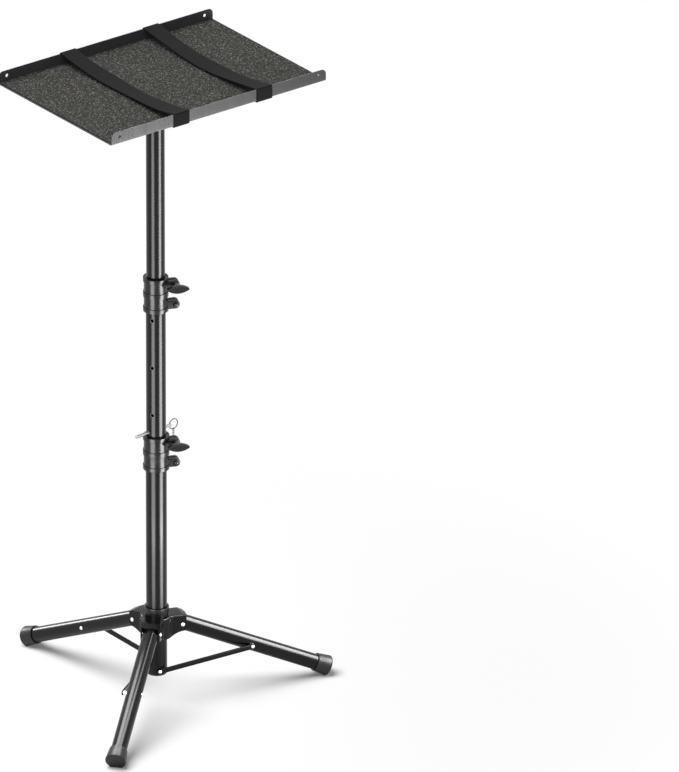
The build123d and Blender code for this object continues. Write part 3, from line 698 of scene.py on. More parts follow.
def grip_mat():
    """Anti-slip mat: charcoal ground with pale and dark flecks about two millimetres across."""
    material, shader = new_finish("grip_mat", Roughness=0.85, Specular_IOR_Level=0.2)
    here = object_coordinates(material)
    ground = mixed_colour(material, noise(material, here, scale=60, detail=4), *MAT_GROUND)
    fleck = spread(material, noise(material, here, scale=430, detail=1), FLECK_SPAN, WHOLE_SPAN)
    flecked = mixed_colour(material, fleck, ground, MAT_FLECK)
    pit = spread(material, noise(material, here, scale=610, detail=1), PIT_SPAN, WHOLE_SPAN)
    connect(material, shader, "Base Color", mixed_colour(material, pit, flecked, MAT_PIT))
    grain = noise(material, here, scale=520, detail=2)
    connect(material, shader, "Normal", relief(material, grain, distance=0.5 * MM, strength=0.7))
    return material


def webbing():
    """Black woven strap: ribs across it, warp threads along it, on the strap's own lengths."""
    material, shader = new_finish("webbing", Roughness=0.85, Specular_IOR_Level=0.1, Sheen_Weight=0.03)
    cloth = add_node(material, "ShaderNodeUVMap", uv_map="cloth").outputs["UV"]
    ribs = bands(material, cloth, "Y", scale=95)
    threads = bands(material, cloth, "X", scale=140)
    weave = combined(material, "MULTIPLY", ribs, threads)
    cloud = noise(material, object_coordinates(material), scale=90, detail=4)
    shade = mixed_colour(material, cloud, *YARN_BLACK)
    connect(material, shader, "Base Color", mixed_colour(material, weave, shade, YARN_CROWN))
    connect(material, shader, "Normal", relief(material, weave, distance=0.25 * MM, strength=0.8))
    return material


def bright_metal(name, colour, roughness, scale):
    """Plated steel with faint handling marks."""
    material, shader = new_finish(name, Metallic=1.0)
    marks = noise(material, object_coordinates(material), scale, detail=4)
    dull = tuple(HANDLED_SHADE * value for value in colour)
    connect(material, shader, "Base Color", mixed_colour(material, marks, colour, dull))
    connect(material, shader, "Roughness", spread(material, marks, NOISE_SPAN, roughness))
    return material


COLUMN_PAINT = {"shades": BLACK_PAINT, "roughness": (0.20, 0.23), "gloss": 0.22}
PAINT = satin_paint("column_paint", **COLUMN_PAINT), "column_paint"
DRILLED = drilled_paint("drilled_paint", **COLUMN_PAINT), "column_paint"
TRAY_PAINT = satin_paint("tray_paint", GREY_PAINT, roughness=(0.42, 0.50), gloss=0.24), "tray_paint"
HUB_GLOSS = satin_paint("hub_gloss", BLACK_PAINT, roughness=(0.16, 0.20), gloss=0.2), "black_plastic"
PLASTIC = (
    moulded_plastic("black_plastic", MOULDED_BLACK, roughness=(0.20, 0.32), gloss=0.3), "black_plastic"
)
# Knob finish: the same black plastic with a painted sheen in its lighter base colour
KNOB_PLASTIC = (
    moulded_plastic("knob_plastic", KNOB_BLACK_PAINTED_SHEEN, roughness=(0.26, 0.38), gloss=0.4), "black_plastic"
)
BLACK_BOLT = PLASTIC[0], "bright_steel"
RUBBER = foot_rubber(), "foot_rubber"
MAT = grip_mat(), "grip_mat"
WEBBING = webbing(), "webbing"
CHROME = bright_metal("pin_chrome", CHROME_GREY, roughness=(0.10, 0.20), scale=120), "pin_chrome"
WIRE = bright_metal("pin_wire", WIRE_GREY, roughness=(0.18, 0.30), scale=160), "pin_chrome"
STEEL = bright_metal("bright_steel", STEEL_GREY, roughness=(0.20, 0.34), scale=200), "bright_steel"


# Column

def make_plain_tube(node):
    """Round tube with softly broken ends, from the node's box."""
    low, high = node_box(node)
    outer = radius_of(node)
    inner = outer - TUBE_WALL
    corners = [(inner, low[2]), (outer, low[2]), (outer, high[2]), (inner, high[2])]
    piece(node, [lathe(rounded(corners, TUBE_EDGE), COLUMN, UP, hollow=True)], PAINT)


def drilled_surface(radius, z_low, z_high, holes, patch_angle):
    """Outside of an upright tube with round holes, each at an azimuth and a height.

    Columns and rows are spaced so that each hole sits in a square patch of the grid; the patch is
    replaced by rings that pass from the square to the circle.
    """
    half = patch_angle / 2
    edges = sorted({round(a + side, ANGLE_DIGITS) for a, _ in holes for side in (-half, half)})
    spans = list(zip(edges, [*edges[1:], edges[0] + 360]))
    counts = [max(HOLE_SIDE_QUADS, round((b - a) / patch_angle * HOLE_SIDE_QUADS)) for a, b in spans]
    angle = np.concatenate(
        [np.linspace(*span, count, endpoint=False) for span, count in zip(spans, counts)]
    )
    reach = math.radians(half) * radius
    levels = sorted({z for _, z in holes})
    windows = [np.linspace(z - reach, z + reach, HOLE_SIDE_QUADS + 1) for z in levels]
    height = np.concatenate([[z_low], *windows, [z_high]])
    theta, z = np.meshgrid(np.radians(angle), height)
    points = polar(radius, theta, z).reshape(-1, 3)
    quads = grid_quads(len(height), len(angle), close_columns=True)
    row, column = np.divmod(np.arange(len(quads)), len(angle))
    middle_z = (height[row] + height[row + 1]) / 2
    past_edge = angle[column] + EDGE_NUDGE
    inside = np.zeros(len(quads), bool)
    flat, ring_quads = hole_patch(reach, PIN_HOLE_RADIUS)
    patches = []
    for azimuth, level in holes:
        off = signed(past_edge - azimuth)
        inside |= (np.abs(off) < half) & (np.abs(middle_z - level) < reach)
        around = math.radians(azimuth) + flat[:, 0] / radius
        patches.append((polar(radius, around, level + flat[:, 1]), ring_quads))
    return merged([(points, quads[~inside]), *patches])


def chipped_rims(mesh, holes, radius):
    """Stores how far the paint is gone: 1 at a hole's rim, falling evenly to 0 at the chip's width."""
    spots = np.zeros(3 * len(mesh.vertices))
    mesh.vertices.foreach_get("co", spots)
    spots = spots.reshape(-1, 3) - COLUMN
    around = np.degrees(np.arctan2(spots[:, 1], spots[:, 0]))
    chip = np.zeros(len(spots), np.float32)
    for azimuth, level in holes:
        off = np.radians(signed(around - azimuth)) * radius
        rim = np.hypot(off, spots[:, 2] - level) - PIN_HOLE_RADIUS
        chip = np.maximum(chip, np.clip(1 - rim / CHIP_WIDTH, 0, 1))
    mesh.attributes.new("chip", "FLOAT", "POINT").data.foreach_set("value", chip)


def make_drilled_tube(node="mid_tube"):
    """Middle tube with pin holes on two lines through it, its paint chipped at their rims."""
    low, high = node_box(node)
    radius = radius_of(node)
    pin_axis = joint("pin_slide")["axis"]
    pin_azimuth = math.degrees(math.atan2(pin_axis[1], pin_axis[0]))
    lines = (
        (pin_azimuth, middle_height("lock_pin"), -PIN_HOLE_PITCH, PIN_HOLES),
        (FRONT_HOLE_AZIMUTH, FRONT_HOLE_FIRST_Z, PIN_HOLE_PITCH, FRONT_HOLES),
    )
    rows = [(azimuth, first + step * pitch) for azimuth, first, pitch, n in lines for step in range(n)]
    holes = [((azimuth + half_turn) % 360, z) for azimuth, z in rows for half_turn in (0, 180)]
    patch_angle = (FRONT_HOLE_AZIMUTH - 180 - pin_azimuth) % 180
    points, quads = drilled_surface(radius, low[2], high[2], holes, patch_angle)
    mesh = closed_mesh(node, [(points + COLUMN, quads)])
    chipped_rims(mesh, holes, radius)
    made = new_shell(node, mesh)
    sheet_wall(made, TUBE_WALL, -1)
    dress(made, node, DRILLED)


def make_tube_end_cap(node="tube_end_cap"):
    """Plug under the lower tube: a disc whose lower rim is well rounded."""
    low, _ = node_box(node)
    tube_low, _ = node_box("lower_tube")
    radius = radius_of(node)
    corners = [(0, low[2]), (radius, low[2]), (radius, tube_low[2]), (0, tube_low[2])]
    piece(node, [lathe(rounded(corners, (0, END_CAP_ROUND, END_CAP_RIM, 0)), COLUMN, UP)], PLASTIC)


# Collars

def collar_outline(z_low, z_high, barrel, flange):
    """Outside of a collar from bottom to top: three flanges with softened rims on a barrel."""
    middle = (z_low + z_high) / 2
    half = MID_FLANGE_HEIGHT / 2
    corners = [
        (flange, z_low),
        (flange, z_low + END_FLANGE_HEIGHT), (barrel, z_low + END_FLANGE_HEIGHT),
        (barrel, middle - half), (flange, middle - half),
        (flange, middle + half), (barrel, middle + half),
        (barrel, z_high - END_FLANGE_HEIGHT), (flange, z_high - END_FLANGE_HEIGHT),
        (flange, z_high),
    ]
    inner_corner = np.array([r == barrel for r, _ in corners])
    reach = np.where(inner_corner, COLLAR_EDGE / 2, COLLAR_EDGE)
    ends = [(barrel - COLLAR_WALL / 2, z_low), *corners, (barrel - COLLAR_WALL / 2, z_high)]
    return rounded(ends, np.concatenate([[0], reach, [0]]))


def split_ring(outline, bore_low, bore_high, step_z, slit, segments=TUBE_SEGMENTS):
    """A ring with a parallel slit on its +X side: outline outside, stepped bore inside, flat ends."""
    bore = np.where(outline[:, 1] < step_z, bore_low, bore_high)
    inside = np.stack([bore, outline[:, 1]], axis=1)
    section = np.concatenate([outline, inside[::-1]])
    start = np.arcsin(slit / 2 / section[:, 0])[:, None]
    share = np.linspace(0, 1, segments)[None]
    angle = start + share * (TURN - 2 * start)
    points = polar(section[:, :1], angle, section[:, 1:])
    quads = grid_quads(len(section), segments, close_rows=True)
    near = np.arange(len(outline) - 1)
    far = 2 * len(outline) - 1 - near
    cap = np.stack([near, near + 1, far - 1, far], axis=1) * segments
    return points.reshape(-1, 3), np.concatenate([quads, cap, cap + segments - 1])


def ear_outline(start, steps=20):
    """A lug from its root out to a round end about the bolt, and the spine that it closes on."""
    angle = np.linspace(-math.pi / 2, math.pi / 2, steps)
    tip = np.stack(
        [EAR_BOLT_RADIUS + EAR_HALF_HEIGHT * np.cos(angle), EAR_HALF_HEIGHT * np.sin(angle)], axis=1
    )
    root = np.array([[start, EAR_HALF_HEIGHT], [start, -EAR_HALF_HEIGHT]])
    outline = np.concatenate([tip, root])
    along = np.clip(outline[:, 0], start + EAR_EDGE, EAR_BOLT_RADIUS)
    return outline, np.stack([along, 0 * along], axis=1)


def ear_heights(level):
    """Heights of a collar's knob ear and bolt ear."""
    return middle_height(f"{level}_knob"), middle_height(f"{level}_collar_bolt")


def make_collar(level, outer_tube, inner_tube):
    """Split clamp collar with two pairs of lugs."""
    node = f"{level}_collar"
    low, high = node_box(node)
    held, sliding = radius_of(outer_tube), radius_of(inner_tube)
    barrel = held + COLLAR_WALL
    out, left, up = turned(EAR_AZIMUTH)
    outline = collar_outline(low[2], high[2], barrel, barrel + COLLAR_FLANGE)
    ring, quads = split_ring(outline, held, sliding, middle_height(node), COLLAR_SLIT)
    surfaces = [(placed(ring, COLUMN, out, left, up), quads)]
    ear, spine = ear_outline(held + EAR_ROOT)
    section = soft_edges(COLLAR_SLIT / 2, EAR_HALF_THICKNESS, EAR_EDGE)
    for height in ear_heights(level):
        for side in (-1, 1):
            surfaces.append(slab(ear, spine, section, COLUMN + UP * height, out, up, side * left))
    piece(node, surfaces, PLASTIC)


def bolt_place(height):
    """Centre of a clamp screw between the ears, and unit vectors out, left and up."""
    out, left, up = turned(EAR_AZIMUTH)
    return COLUMN + out * EAR_BOLT_RADIUS + up * height, out, left, up


def nut_outline():
    """Hexagon of a nut, drawn in towards its middle point."""
    angle = np.arange(NUT_SIDES) * TURN / NUT_SIDES
    outline = NUT_RADIUS * np.stack([np.cos(angle), np.sin(angle)], axis=1)
    return outline, 0 * outline


def make_collar_hardware(level):
    """Bolt with its nut in the lower ear, and the nut of the knob's screw in the upper ear."""
    knob_z, bolt_z = ear_heights(level)
    centre, out, left, up = bolt_place(bolt_z)
    head = dome_profile(BOLT_HEAD_RADIUS, BOLT_HEAD_HEIGHT, CLAMP_SCREW_RADIUS, 2 * EAR_HALF_THICKNESS)
    outline, spine = nut_outline()
    face = EAR_HALF_THICKNESS
    proud = soft_edges(face, face + NUT_HEIGHT, NUT_EDGE, NUT_EDGE_STEPS)
    bolt = [
        lathe(head, centre - left * face, -left, RIVET_SEGMENTS),
        slab(outline, spine, proud, centre, out, up, left),
    ]
    piece(f"{level}_collar_bolt", bolt, BLACK_BOLT)
    centre, out, left, up = bolt_place(knob_z)
    sunk = soft_edges(face - NUT_HEIGHT, face, SUNK_NUT_EDGE, NUT_EDGE_STEPS)
    piece(f"{level}_collar_nut", [slab(outline, spine, sunk, centre, out, up, left)], STEEL)


def lens_outline(half_length, half_width, tip, steps=72):
    """Pointed lens of two arcs with round tips: a smaller lens grown by the tip's radius along its
    normals. Returned with its spine along the middle."""
    length, width = half_length - tip, half_width - tip
    arc = (length**2 + width**2) / (2 * width)
    angle = np.linspace(0, TURN, steps, endpoint=False)
    normal = np.stack([np.cos(angle), np.sin(angle)], axis=1)
    side = np.where(normal[:, 1] >= 0, 1.0, -1.0)
    on_arc = np.abs(normal[:, 0]) * arc <= length
    along = np.where(on_arc, arc * normal[:, 0], np.sign(normal[:, 0]) * length)
    across = np.where(on_arc, arc * normal[:, 1] - side * (arc - width), 0)
    outline = np.stack([along, across], axis=1) + tip * normal
    spine_end = KNOB_SPINE_SHARE * half_length
    spine = np.stack([np.clip(outline[:, 0], -spine_end, spine_end), 0 * along], axis=1)
    return outline, spine


def make_knob(level):
    """Hand knob: lens bar with a dished face on a neck that flares by the cube of its height, and the
    screw in it."""
    knob_z, _ = ear_heights(level)
    centre, out, left, up = bolt_place(knob_z)
    outline, spine = lens_outline(KNOB_HALF_LENGTH, KNOB_HALF_WIDTH, KNOB_TIP_ROUND)
    top = KNOB_STANDOFF + KNOB_THICKNESS
    body = soft_edges(KNOB_STANDOFF, top, KNOB_EDGE)
    dish = [(KNOB_RIM, top), (KNOB_DISH_INSET, top - KNOB_DISH_DEPTH)]
    bar = slab(outline, spine, np.concatenate([body, dish]), centre, out, up, -left)
    start = EAR_HALF_THICKNESS + KNOB_FACE_GAP
    rise = np.linspace(0, 1, KNOB_NECK_RINGS)[:, None]
    neck_z = start + rise * (KNOB_STANDOFF + KNOB_NECK_SINK - start)
    neck_r = KNOB_NECK_RADIUS + KNOB_NECK_FLARE * rise**3
    neck = np.concatenate([[[0, start]], np.hstack([neck_r, neck_z]), [[0, neck_z[-1, 0]]]])
    piece(f"{level}_knob", [bar, lathe(neck, centre, -left, KNOB_NECK_SEGMENTS)], KNOB_PLASTIC)
    corners = [
        (0, -start), (CLAMP_SCREW_RADIUS, -start),
        (CLAMP_SCREW_RADIUS, EAR_HALF_THICKNESS), (0, EAR_HALF_THICKNESS),
    ]
    screw = rounded(corners, (0, 0, CLAMP_SCREW_TIP, 0))
    piece(f"{level}_knob_screw", [lathe(screw, centre, left, RIVET_SEGMENTS)], STEEL)


# Locking pin

def make_lock_pin():
    """Chrome pin with chamfered ends, the ring through its end and the chain on the ring."""
    centre = COLUMN + UP * middle_height("lock_pin")
    along = unit(joint("pin_slide")["axis"])
    tip, tail = -PIN_TIP_REACH, PIN_RING_REACH
    corners = [(0, tip), (PIN_RADIUS, tip), (PIN_RADIUS, tail), (0, tail)]
    profile = rounded(corners, (0, PIN_CHAMFER, PIN_CHAMFER, 0))
    piece("lock_pin", [lathe(profile, centre, along, PIN_SEGMENTS)], CHROME)
    ring_centre = centre + along * (PIN_RING_REACH - PIN_EYE_INSET + RING_RADIUS)
    normal = np.cross(UP, along)
    angle = np.linspace(0, TURN, RING_SEGMENTS, endpoint=False)[:, None]
    circle = ring_centre + RING_RADIUS * (np.cos(angle) * along + np.sin(angle) * UP)
    piece("pin_ring", [wire_loop(circle, normal, RING_WIRE_RADIUS, RING_WIRE_SIDES)], WIRE)
    make_pin_chain(ring_centre, along, normal)


def make_pin_chain(ring_centre, along, normal):
    """Oval wire links hung from the ring, each turned a quarter from the last.

    A link is a circle whose upper and lower halves are moved apart by its straight runs.
    """
    pitch = CHAIN_LINK_LENGTH - 4 * CHAIN_WIRE_RADIUS - CHAIN_SLACK
    hook = RING_RADIUS - RING_WIRE_RADIUS - CHAIN_SLACK - 2 * CHAIN_WIRE_RADIUS
    drop = hook + CHAIN_LINK_LENGTH / 2
    half_run = (CHAIN_LINK_LENGTH - CHAIN_LINK_WIDTH) / 2
    bend = CHAIN_LINK_WIDTH / 2 - CHAIN_WIRE_RADIUS
    angle = np.linspace(0, TURN, CHAIN_LINK_SEGMENTS, endpoint=False)[:, None]
    rise = half_run * np.sign(np.sin(angle)) + bend * np.sin(angle)
    links = []
    for step in range(CHAIN_LINKS):
        across, facing = (normal, along) if step % 2 == 0 else (along, -normal)
        centre = ring_centre - UP * (drop + step * pitch)
        path = centre + bend * np.cos(angle) * across + rise * UP
        links.append(wire_loop(path, facing, CHAIN_WIRE_RADIUS, CHAIN_WIRE_SIDES))
    piece("pin_chain", links, WIRE)


# Hub, legs and braces

def make_hub():
    """Cast spider as a welded copy, guide ring turned, rivets through the three channels."""
    welded_copy("leg_hub", HUB_GLOSS, HUB_EDGE)
    low, high = node_box("hub_ring")
    outer = radius_of("hub_ring")
    _, tube_high = node_box("lower_tube")
    inner = (tube_high - COLUMN)[0] + HUB_RING_BORE_GAP
    neck = outer - HUB_RING_NECK_INSET
    neck_z = low[2] + HUB_RING_NECK
    corners = [
        (inner, low[2]), (neck, low[2]), (neck, neck_z),
        (outer, neck_z), (outer, high[2]), (inner, high[2]),
    ]
    ring = rounded(corners, HUB_RING_EDGES)
    piece("hub_ring", [lathe(ring, COLUMN, UP, hollow=True)], PLASTIC)
    profile = dome_profile(LEG_RIVET_HEAD_RADIUS, RIVET_HEAD_HEIGHT, LEG_RIVET_RADIUS, HUB_ARM_OUTER)
    rivets = []
    for number in LEGS:
        pivot, _, left, _ = leg_frame(number)
        for outward in (-left, left):
            rivets.append(lathe(profile, pivot + outward * HUB_ARM_OUTER, outward, RIVET_SEGMENTS))
    piece("leg_rivets", rivets, STEEL)


def make_leg(number):
    """Leg tube: angle round by length, its inner end cut round the hub pivot."""
    pivot, along, left, top = leg_frame(number)
    angle = np.linspace(0, TURN, TUBE_SEGMENTS, endpoint=False)
    inner = LEG_RADIUS - LEG_WALL
    radius = np.array([LEG_RADIUS, LEG_RADIUS, inner, inner])[:, None]
    cut = -np.sqrt(np.maximum(LEG_RADIUS**2 - (radius * np.sin(angle)) ** 2, 0))
    is_far = np.array([False, True, True, False])[:, None]
    reach = np.where(is_far, LEG_LENGTH, cut)
    points = np.stack([reach, radius * np.cos(angle), radius * np.sin(angle)], axis=-1).reshape(-1, 3)
    quads = grid_quads(len(radius), TUBE_SEGMENTS, close_rows=True, close_columns=True)
    piece(f"leg_{number}", [(placed(points, pivot, along, left, top), quads)], PAINT)


def foot_profile():
    """Half section of a foot along the leg: a flaring sleeve with a closed, rounded end."""
    mouth, end = LEG_LENGTH - FOOT_SLEEVE, LEG_LENGTH + FOOT_END_WALL
    mouth_radius = LEG_RADIUS + FOOT_MOUTH_WALL
    corners = [
        (0, LEG_LENGTH), (LEG_RADIUS, LEG_LENGTH), (LEG_RADIUS, mouth),
        (mouth_radius, mouth), (FOOT_END_RADIUS, end),
    ]
    reach = [0, 0, FOOT_MOUTH_EDGE / 2, FOOT_MOUTH_EDGE, FOOT_END_EDGE]
    face = np.linspace(FOOT_END_RADIUS - FOOT_END_EDGE, 0, FOOT_FACE_RINGS + 1)[1:]
    corners += [(radius, end) for radius in face]
    return rounded(corners, reach + [0] * FOOT_FACE_RINGS)


def make_foot(number):
    """Flared rubber foot on the leg's end, pressed flat where it meets the floor."""
    pivot, along, _, _ = leg_frame(number)
    points, quads = lathe(foot_profile(), pivot, along)
    points[:, 2] = np.maximum(points[:, 2], 0)
    piece(f"foot_{number}", [(points, quads)], RUBBER)


def make_brace(number):
    """Flat strip with round ends and softened edges, and the rivets that it hangs on."""
    start, run, left, top, length = brace_frame(number)
    outline, spine = slot_outline(length, BRACE_HALF_WIDTH)
    outer = BRACE_INNER + BRACE_THICKNESS
    section = soft_edges(BRACE_INNER, outer, BRACE_EDGE)
    piece(f"brace_{number}", [slab(outline, spine, section, start, run, top, -left)], PAINT)
    end = start + run * length
    head = dome_profile(RIVET_HEAD_RADIUS, RIVET_HEAD_HEIGHT, RIVET_RADIUS, BRACE_THICKNESS)
    near, far = LEG_RADIUS + BRACE_LEG_GAP, BRACE_INNER
    spacer = [(0, near), (BRACE_SPACER_RADIUS, near), (BRACE_SPACER_RADIUS, far), (0, far)]
    rivet = [
        lathe(head, end - left * outer, -left, RIVET_SEGMENTS),
        lathe(spacer, end, -left, RIVET_SEGMENTS),
    ]
    piece(f"brace_rivet_{number}", rivet, STEEL)
    pivot, along, left, _ = leg_frame(number)
    far_head = dome_profile(RIVET_HEAD_RADIUS, RIVET_HEAD_HEIGHT, RIVET_RADIUS, 2 * LEG_RADIUS)
    far_side = pivot + along * BRACE_LEG_DISTANCE + left * LEG_RADIUS
    piece(f"leg_rivet_{number}", [lathe(far_head, far_side, left, RIVET_SEGMENTS)], STEEL)


def make_brace_studs():
    """Rivets in the tube's foot that the braces turn on."""
    shank = BRACE_THICKNESS + STUD_DEPTH
    head = dome_profile(RIVET_HEAD_RADIUS, RIVET_HEAD_HEIGHT, RIVET_RADIUS, shank)
    studs = []
    for number in LEGS:
        start, _, left, _, _ = brace_frame(number)
        place = start - left * (BRACE_INNER + BRACE_THICKNESS)
        studs.append(lathe(head, place, -left, RIVET_SEGMENTS))
    piece("brace_studs", studs, STEEL)


# Tray

def lip_end(height, lip):
    """How far a lip's rounded corner draws its end in at a height above the sheet's underside."""
    into = np.clip(height - (lip - LIP_CORNER_ROUND), 0, LIP_CORNER_ROUND)
    return LIP_CORNER_ROUND - np.sqrt(LIP_CORNER_ROUND**2 - into**2)


def tray_section(half_depth, lip):
    """Section of the bent sheet's outside in (y, z): down the front lip, round its bend, across the
    floor and up the back lip, with rows for the lip holes and the lips' round corners."""
    arc = np.sin(np.linspace(math.pi / 2, 0, LIP_CORNER_ROWS))
    top = lip - LIP_CORNER_ROUND + LIP_CORNER_ROUND * arc
    top = top[top > LIP_HOLE_HEIGHT + LIP_PATCH + LIP_PATCH_CLEARANCE]
    window = np.linspace(LIP_HOLE_HEIGHT + LIP_PATCH, LIP_HOLE_HEIGHT - LIP_PATCH, HOLE_SIDE_QUADS + 1)
    lip_z = np.concatenate([top, window])
    bend = np.linspace(0, math.pi / 2, TRAY_BEND_ROWS)
    bend_y = -half_depth + TRAY_BEND * (1 - np.cos(bend))
    bend_z = TRAY_BEND * (1 - np.sin(bend))
    front_y = np.concatenate([0 * lip_z - half_depth, bend_y])
    front_z = np.concatenate([lip_z, bend_z])
    floor_y = np.linspace(front_y[-1], -front_y[-1], TRAY_FLOOR_ROWS + 2)[1:-1]
    section_y = np.concatenate([front_y, floor_y, -front_y[::-1]])
    section_z = np.concatenate([front_z, 0 * floor_y, front_z[::-1]])
    return section_y, section_z


def tray_grid(half_length, half_depth, lip):
    """Outside of the bent sheet as a grid: rows go round the section from lip to lip, columns along it.

    The last stretch of each row is drawn in where the lip's corner is round.
    """
    section_y, section_z = tray_section(half_depth, lip)
    end_zone = LIP_HOLE_INSET - LIP_PATCH
    inner = half_length - LIP_HOLE_INSET - LIP_PATCH
    hole_zone = np.linspace(inner, half_length - end_zone, HOLE_SIDE_QUADS + 1)
    ends = np.linspace(half_length - end_zone, half_length, LIP_END_COLUMNS + 1)[1:]
    right = np.concatenate([hole_zone, ends])
    between = np.linspace(-inner, inner, TRAY_MIDDLE_COLUMNS + 2)[1:-1]
    x = np.concatenate([-right[::-1], between, right])
    share = np.clip((np.abs(x) - (half_length - end_zone)) / end_zone, 0, 1)
    draw_in = lip_end(section_z, lip)[:, None] * (share * np.sign(x))[None]
    grid = np.broadcast_arrays(x[None] - draw_in, section_y[:, None], section_z[:, None])
    return np.stack(grid, axis=-1)


def tray_holes(points, half_length):
    """Surfaces of the tray's grid with rings of quads round each lip hole instead of a square patch."""
    rows, columns, _ = points.shape
    quads = grid_quads(rows, columns)
    middle = points.reshape(-1, 3)[quads].mean(axis=1)
    level = np.abs(middle[:, 2] - LIP_HOLE_HEIGHT) < LIP_PATCH
    across = np.abs(np.abs(middle[:, 0]) - (half_length - LIP_HOLE_INSET)) < LIP_PATCH
    surfaces = [(points.reshape(-1, 3), quads[~(level & across)])]
    flat, ring_quads = hole_patch(LIP_PATCH, LIP_HOLE_RADIUS)
    for y in (points[0, 0, 1], points[-1, 0, 1]):
        for side in (-1, 1):
            x = side * (half_length - LIP_HOLE_INSET)
            ring = np.stack([x + flat[:, 0], 0 * flat[:, 0] + y, LIP_HOLE_HEIGHT + flat[:, 1]], axis=1)
            surfaces.append((ring, ring_quads))
    return surfaces


def make_tray_plate(node="tray_plate"):
    """Bent sheet tray with rounded lip corners and a hole near each lip end."""
    low, high = node_box(node)
    half_length, half_depth, lip = (high - low) * (0.5, 0.5, 1)
    points = tray_grid(half_length, half_depth, lip)
    middle = (low + high) / 2 * (1, 1, 0) + UP * low[2]
    surfaces = [(p + middle, q) for p, q in tray_holes(points, half_length)]
    made = new_shell(node, closed_mesh(node, surfaces, SHEET_SHARP_ANGLE))
    sheet_wall(made, TRAY_SHEET, -1)
    edge_bevel(made, TRAY_SHEET_EDGE, SHEET_SHARP_ANGLE)
    dress(made, node, TRAY_PAINT)


def make_tray_mat(node="tray_mat"):
    """Mat: a grid whose top carries a fine pebble relief, with square sides and a flat underside.

    The relief at a point is the mean of four neighbouring random heights.
    """
    low, high = node_box(node)
    x = np.linspace(low[0], high[0], MAT_COLUMNS)
    y = np.linspace(low[1], high[1], MAT_ROWS)
    grid_x, grid_y = np.meshgrid(x, y)
    grains = np.random.default_rng(SEED).random(grid_x.shape)
    soft = grains + np.roll(grains, 1, 0) + np.roll(grains, 1, 1) + np.roll(grains, (1, 1), (0, 1))
    grid_z = high[2] - MAT_GRAIN * (MAT_GRAIN_BASE + soft / 4)
    points = np.stack([grid_x, grid_y, grid_z], axis=-1).reshape(-1, 3)
    number = np.arange(len(points)).reshape(grid_x.shape)
    border = np.concatenate([number[0], number[1:-1, -1], number[-1, ::-1], number[-2:0:-1, 0]])
    foot = points[border] * (1, 1, 0) + UP * low[2]
    skirt = np.concatenate([points[border], foot])
    surfaces = [
        (points, grid_quads(MAT_ROWS, MAT_COLUMNS)),
        (skirt, grid_quads(2, len(border), close_columns=True)),
    ]
    mesh = closed_mesh(node, surfaces, MAT_SHARP_ANGLE)
    with edited(mesh) as shape:
        rim = [edge for edge in shape.edges if edge.is_boundary]
        bmesh.ops.holes_fill(shape, edges=rim, sides=0)
        bmesh.ops.recalc_face_normals(shape, faces=shape.faces)
    dress(new_shell(node, mesh), node, MAT)


def strap_path(plate_low, plate_high, mat_top):
    """Closed path of a strap round the tray in (y, z), and the length along it at each point.

    It goes down the lips and under the floor, and its top run sags as a parabola.
    """
    off = STRAP_GAP + STRAP_THICKNESS / 2
    half = (plate_high - plate_low)[1] / 2 + off
    low, high = plate_low[2] - off, plate_high[2] + off
    dip = high - (mat_top + STRAP_SAG_CLEARANCE)
    share = np.linspace(STRAP_RUN_SHARE, -STRAP_RUN_SHARE, STRAP_RUN_STEPS)
    run = np.stack([share * half, high - dip * (1 - share**2)], axis=1)
    corners = np.array([run[-1], (-half, high), (-half, low), (half, low), (half, high), run[0]])
    reach = (0, STRAP_TOP_BEND, STRAP_FLOOR_BEND, STRAP_FLOOR_BEND, STRAP_TOP_BEND, 0)
    loop = np.concatenate([run, rounded(corners, reach, STRAP_BEND_STEPS)])
    loop = loop[steps_of(loop) > WELD]
    return loop, np.concatenate([[0], np.cumsum(steps_of(loop))])


def strap_mesh(node, points, width, length):
    """Mesh of a strap's grid, with a map of its own lengths across and along it."""
    rows, columns, _ = points.shape
    mesh = bpy.data.meshes.new(shell_name(node))
    quads = grid_quads(rows, columns, close_rows=True)
    mesh.from_pydata(points.reshape(-1, 3).tolist(), [], quads.tolist())
    row, column = np.divmod(np.arange(rows * (columns - 1)), columns - 1)
    u = np.stack([column, column + 1, column + 1, column], axis=1) * width / (columns - 1)
    v = length[np.stack([row, row, row + 1, row + 1], axis=1)]
    mesh.uv_layers.new(name="cloth").data.foreach_set("uv", np.stack([u, v], axis=-1).ravel())
    smooth_by_angle(mesh, SHEET_SHARP_ANGLE)
    return mesh


def make_strap(node, drift):
    """Webbing loop: path round the tray by width; its slack top run sways and tilts in slow waves."""
    low, high = node_box(node)
    plate_low, plate_high = node_box("tray_plate")
    _, mat_high = node_box("tray_mat")
    loop, length = strap_path(plate_low, plate_high, mat_high[2])
    width = (high - low)[0]
    across = np.linspace(-0.5, 0.5, STRAP_COLUMNS + 1)
    place = loop[:, 0] / np.abs(loop[:, 0]).max()
    near_top = loop[:, 1] > plate_high[2] - STRAP_SLACK_DEPTH
    slack = np.where(near_top & (np.abs(place) < STRAP_SLACK_SHARE), 1 - place**2, 0)
    sway = drift * slack * np.cos(STRAP_SWAY_TURN * place)
    tilt = STRAP_TILT * slack * np.sin(STRAP_TILT_TURN * place + STRAP_TILT_PHASE * drift)
    x = (low + high)[0] / 2 + across[None] * width + sway[:, None]
    y = np.broadcast_to(loop[:, :1], x.shape) + (plate_low + plate_high)[1] / 2
    z = loop[:, 1:] + 2 * across[None] * tilt[:, None]
    made = new_shell(node, strap_mesh(node, np.stack([x, y, z], axis=-1), width, length))
    sheet_wall(made, STRAP_THICKNESS, 0)
    edge_bevel(made, STRAP_EDGE, SHEET_SHARP_ANGLE)
    dress(made, node, WEBBING)


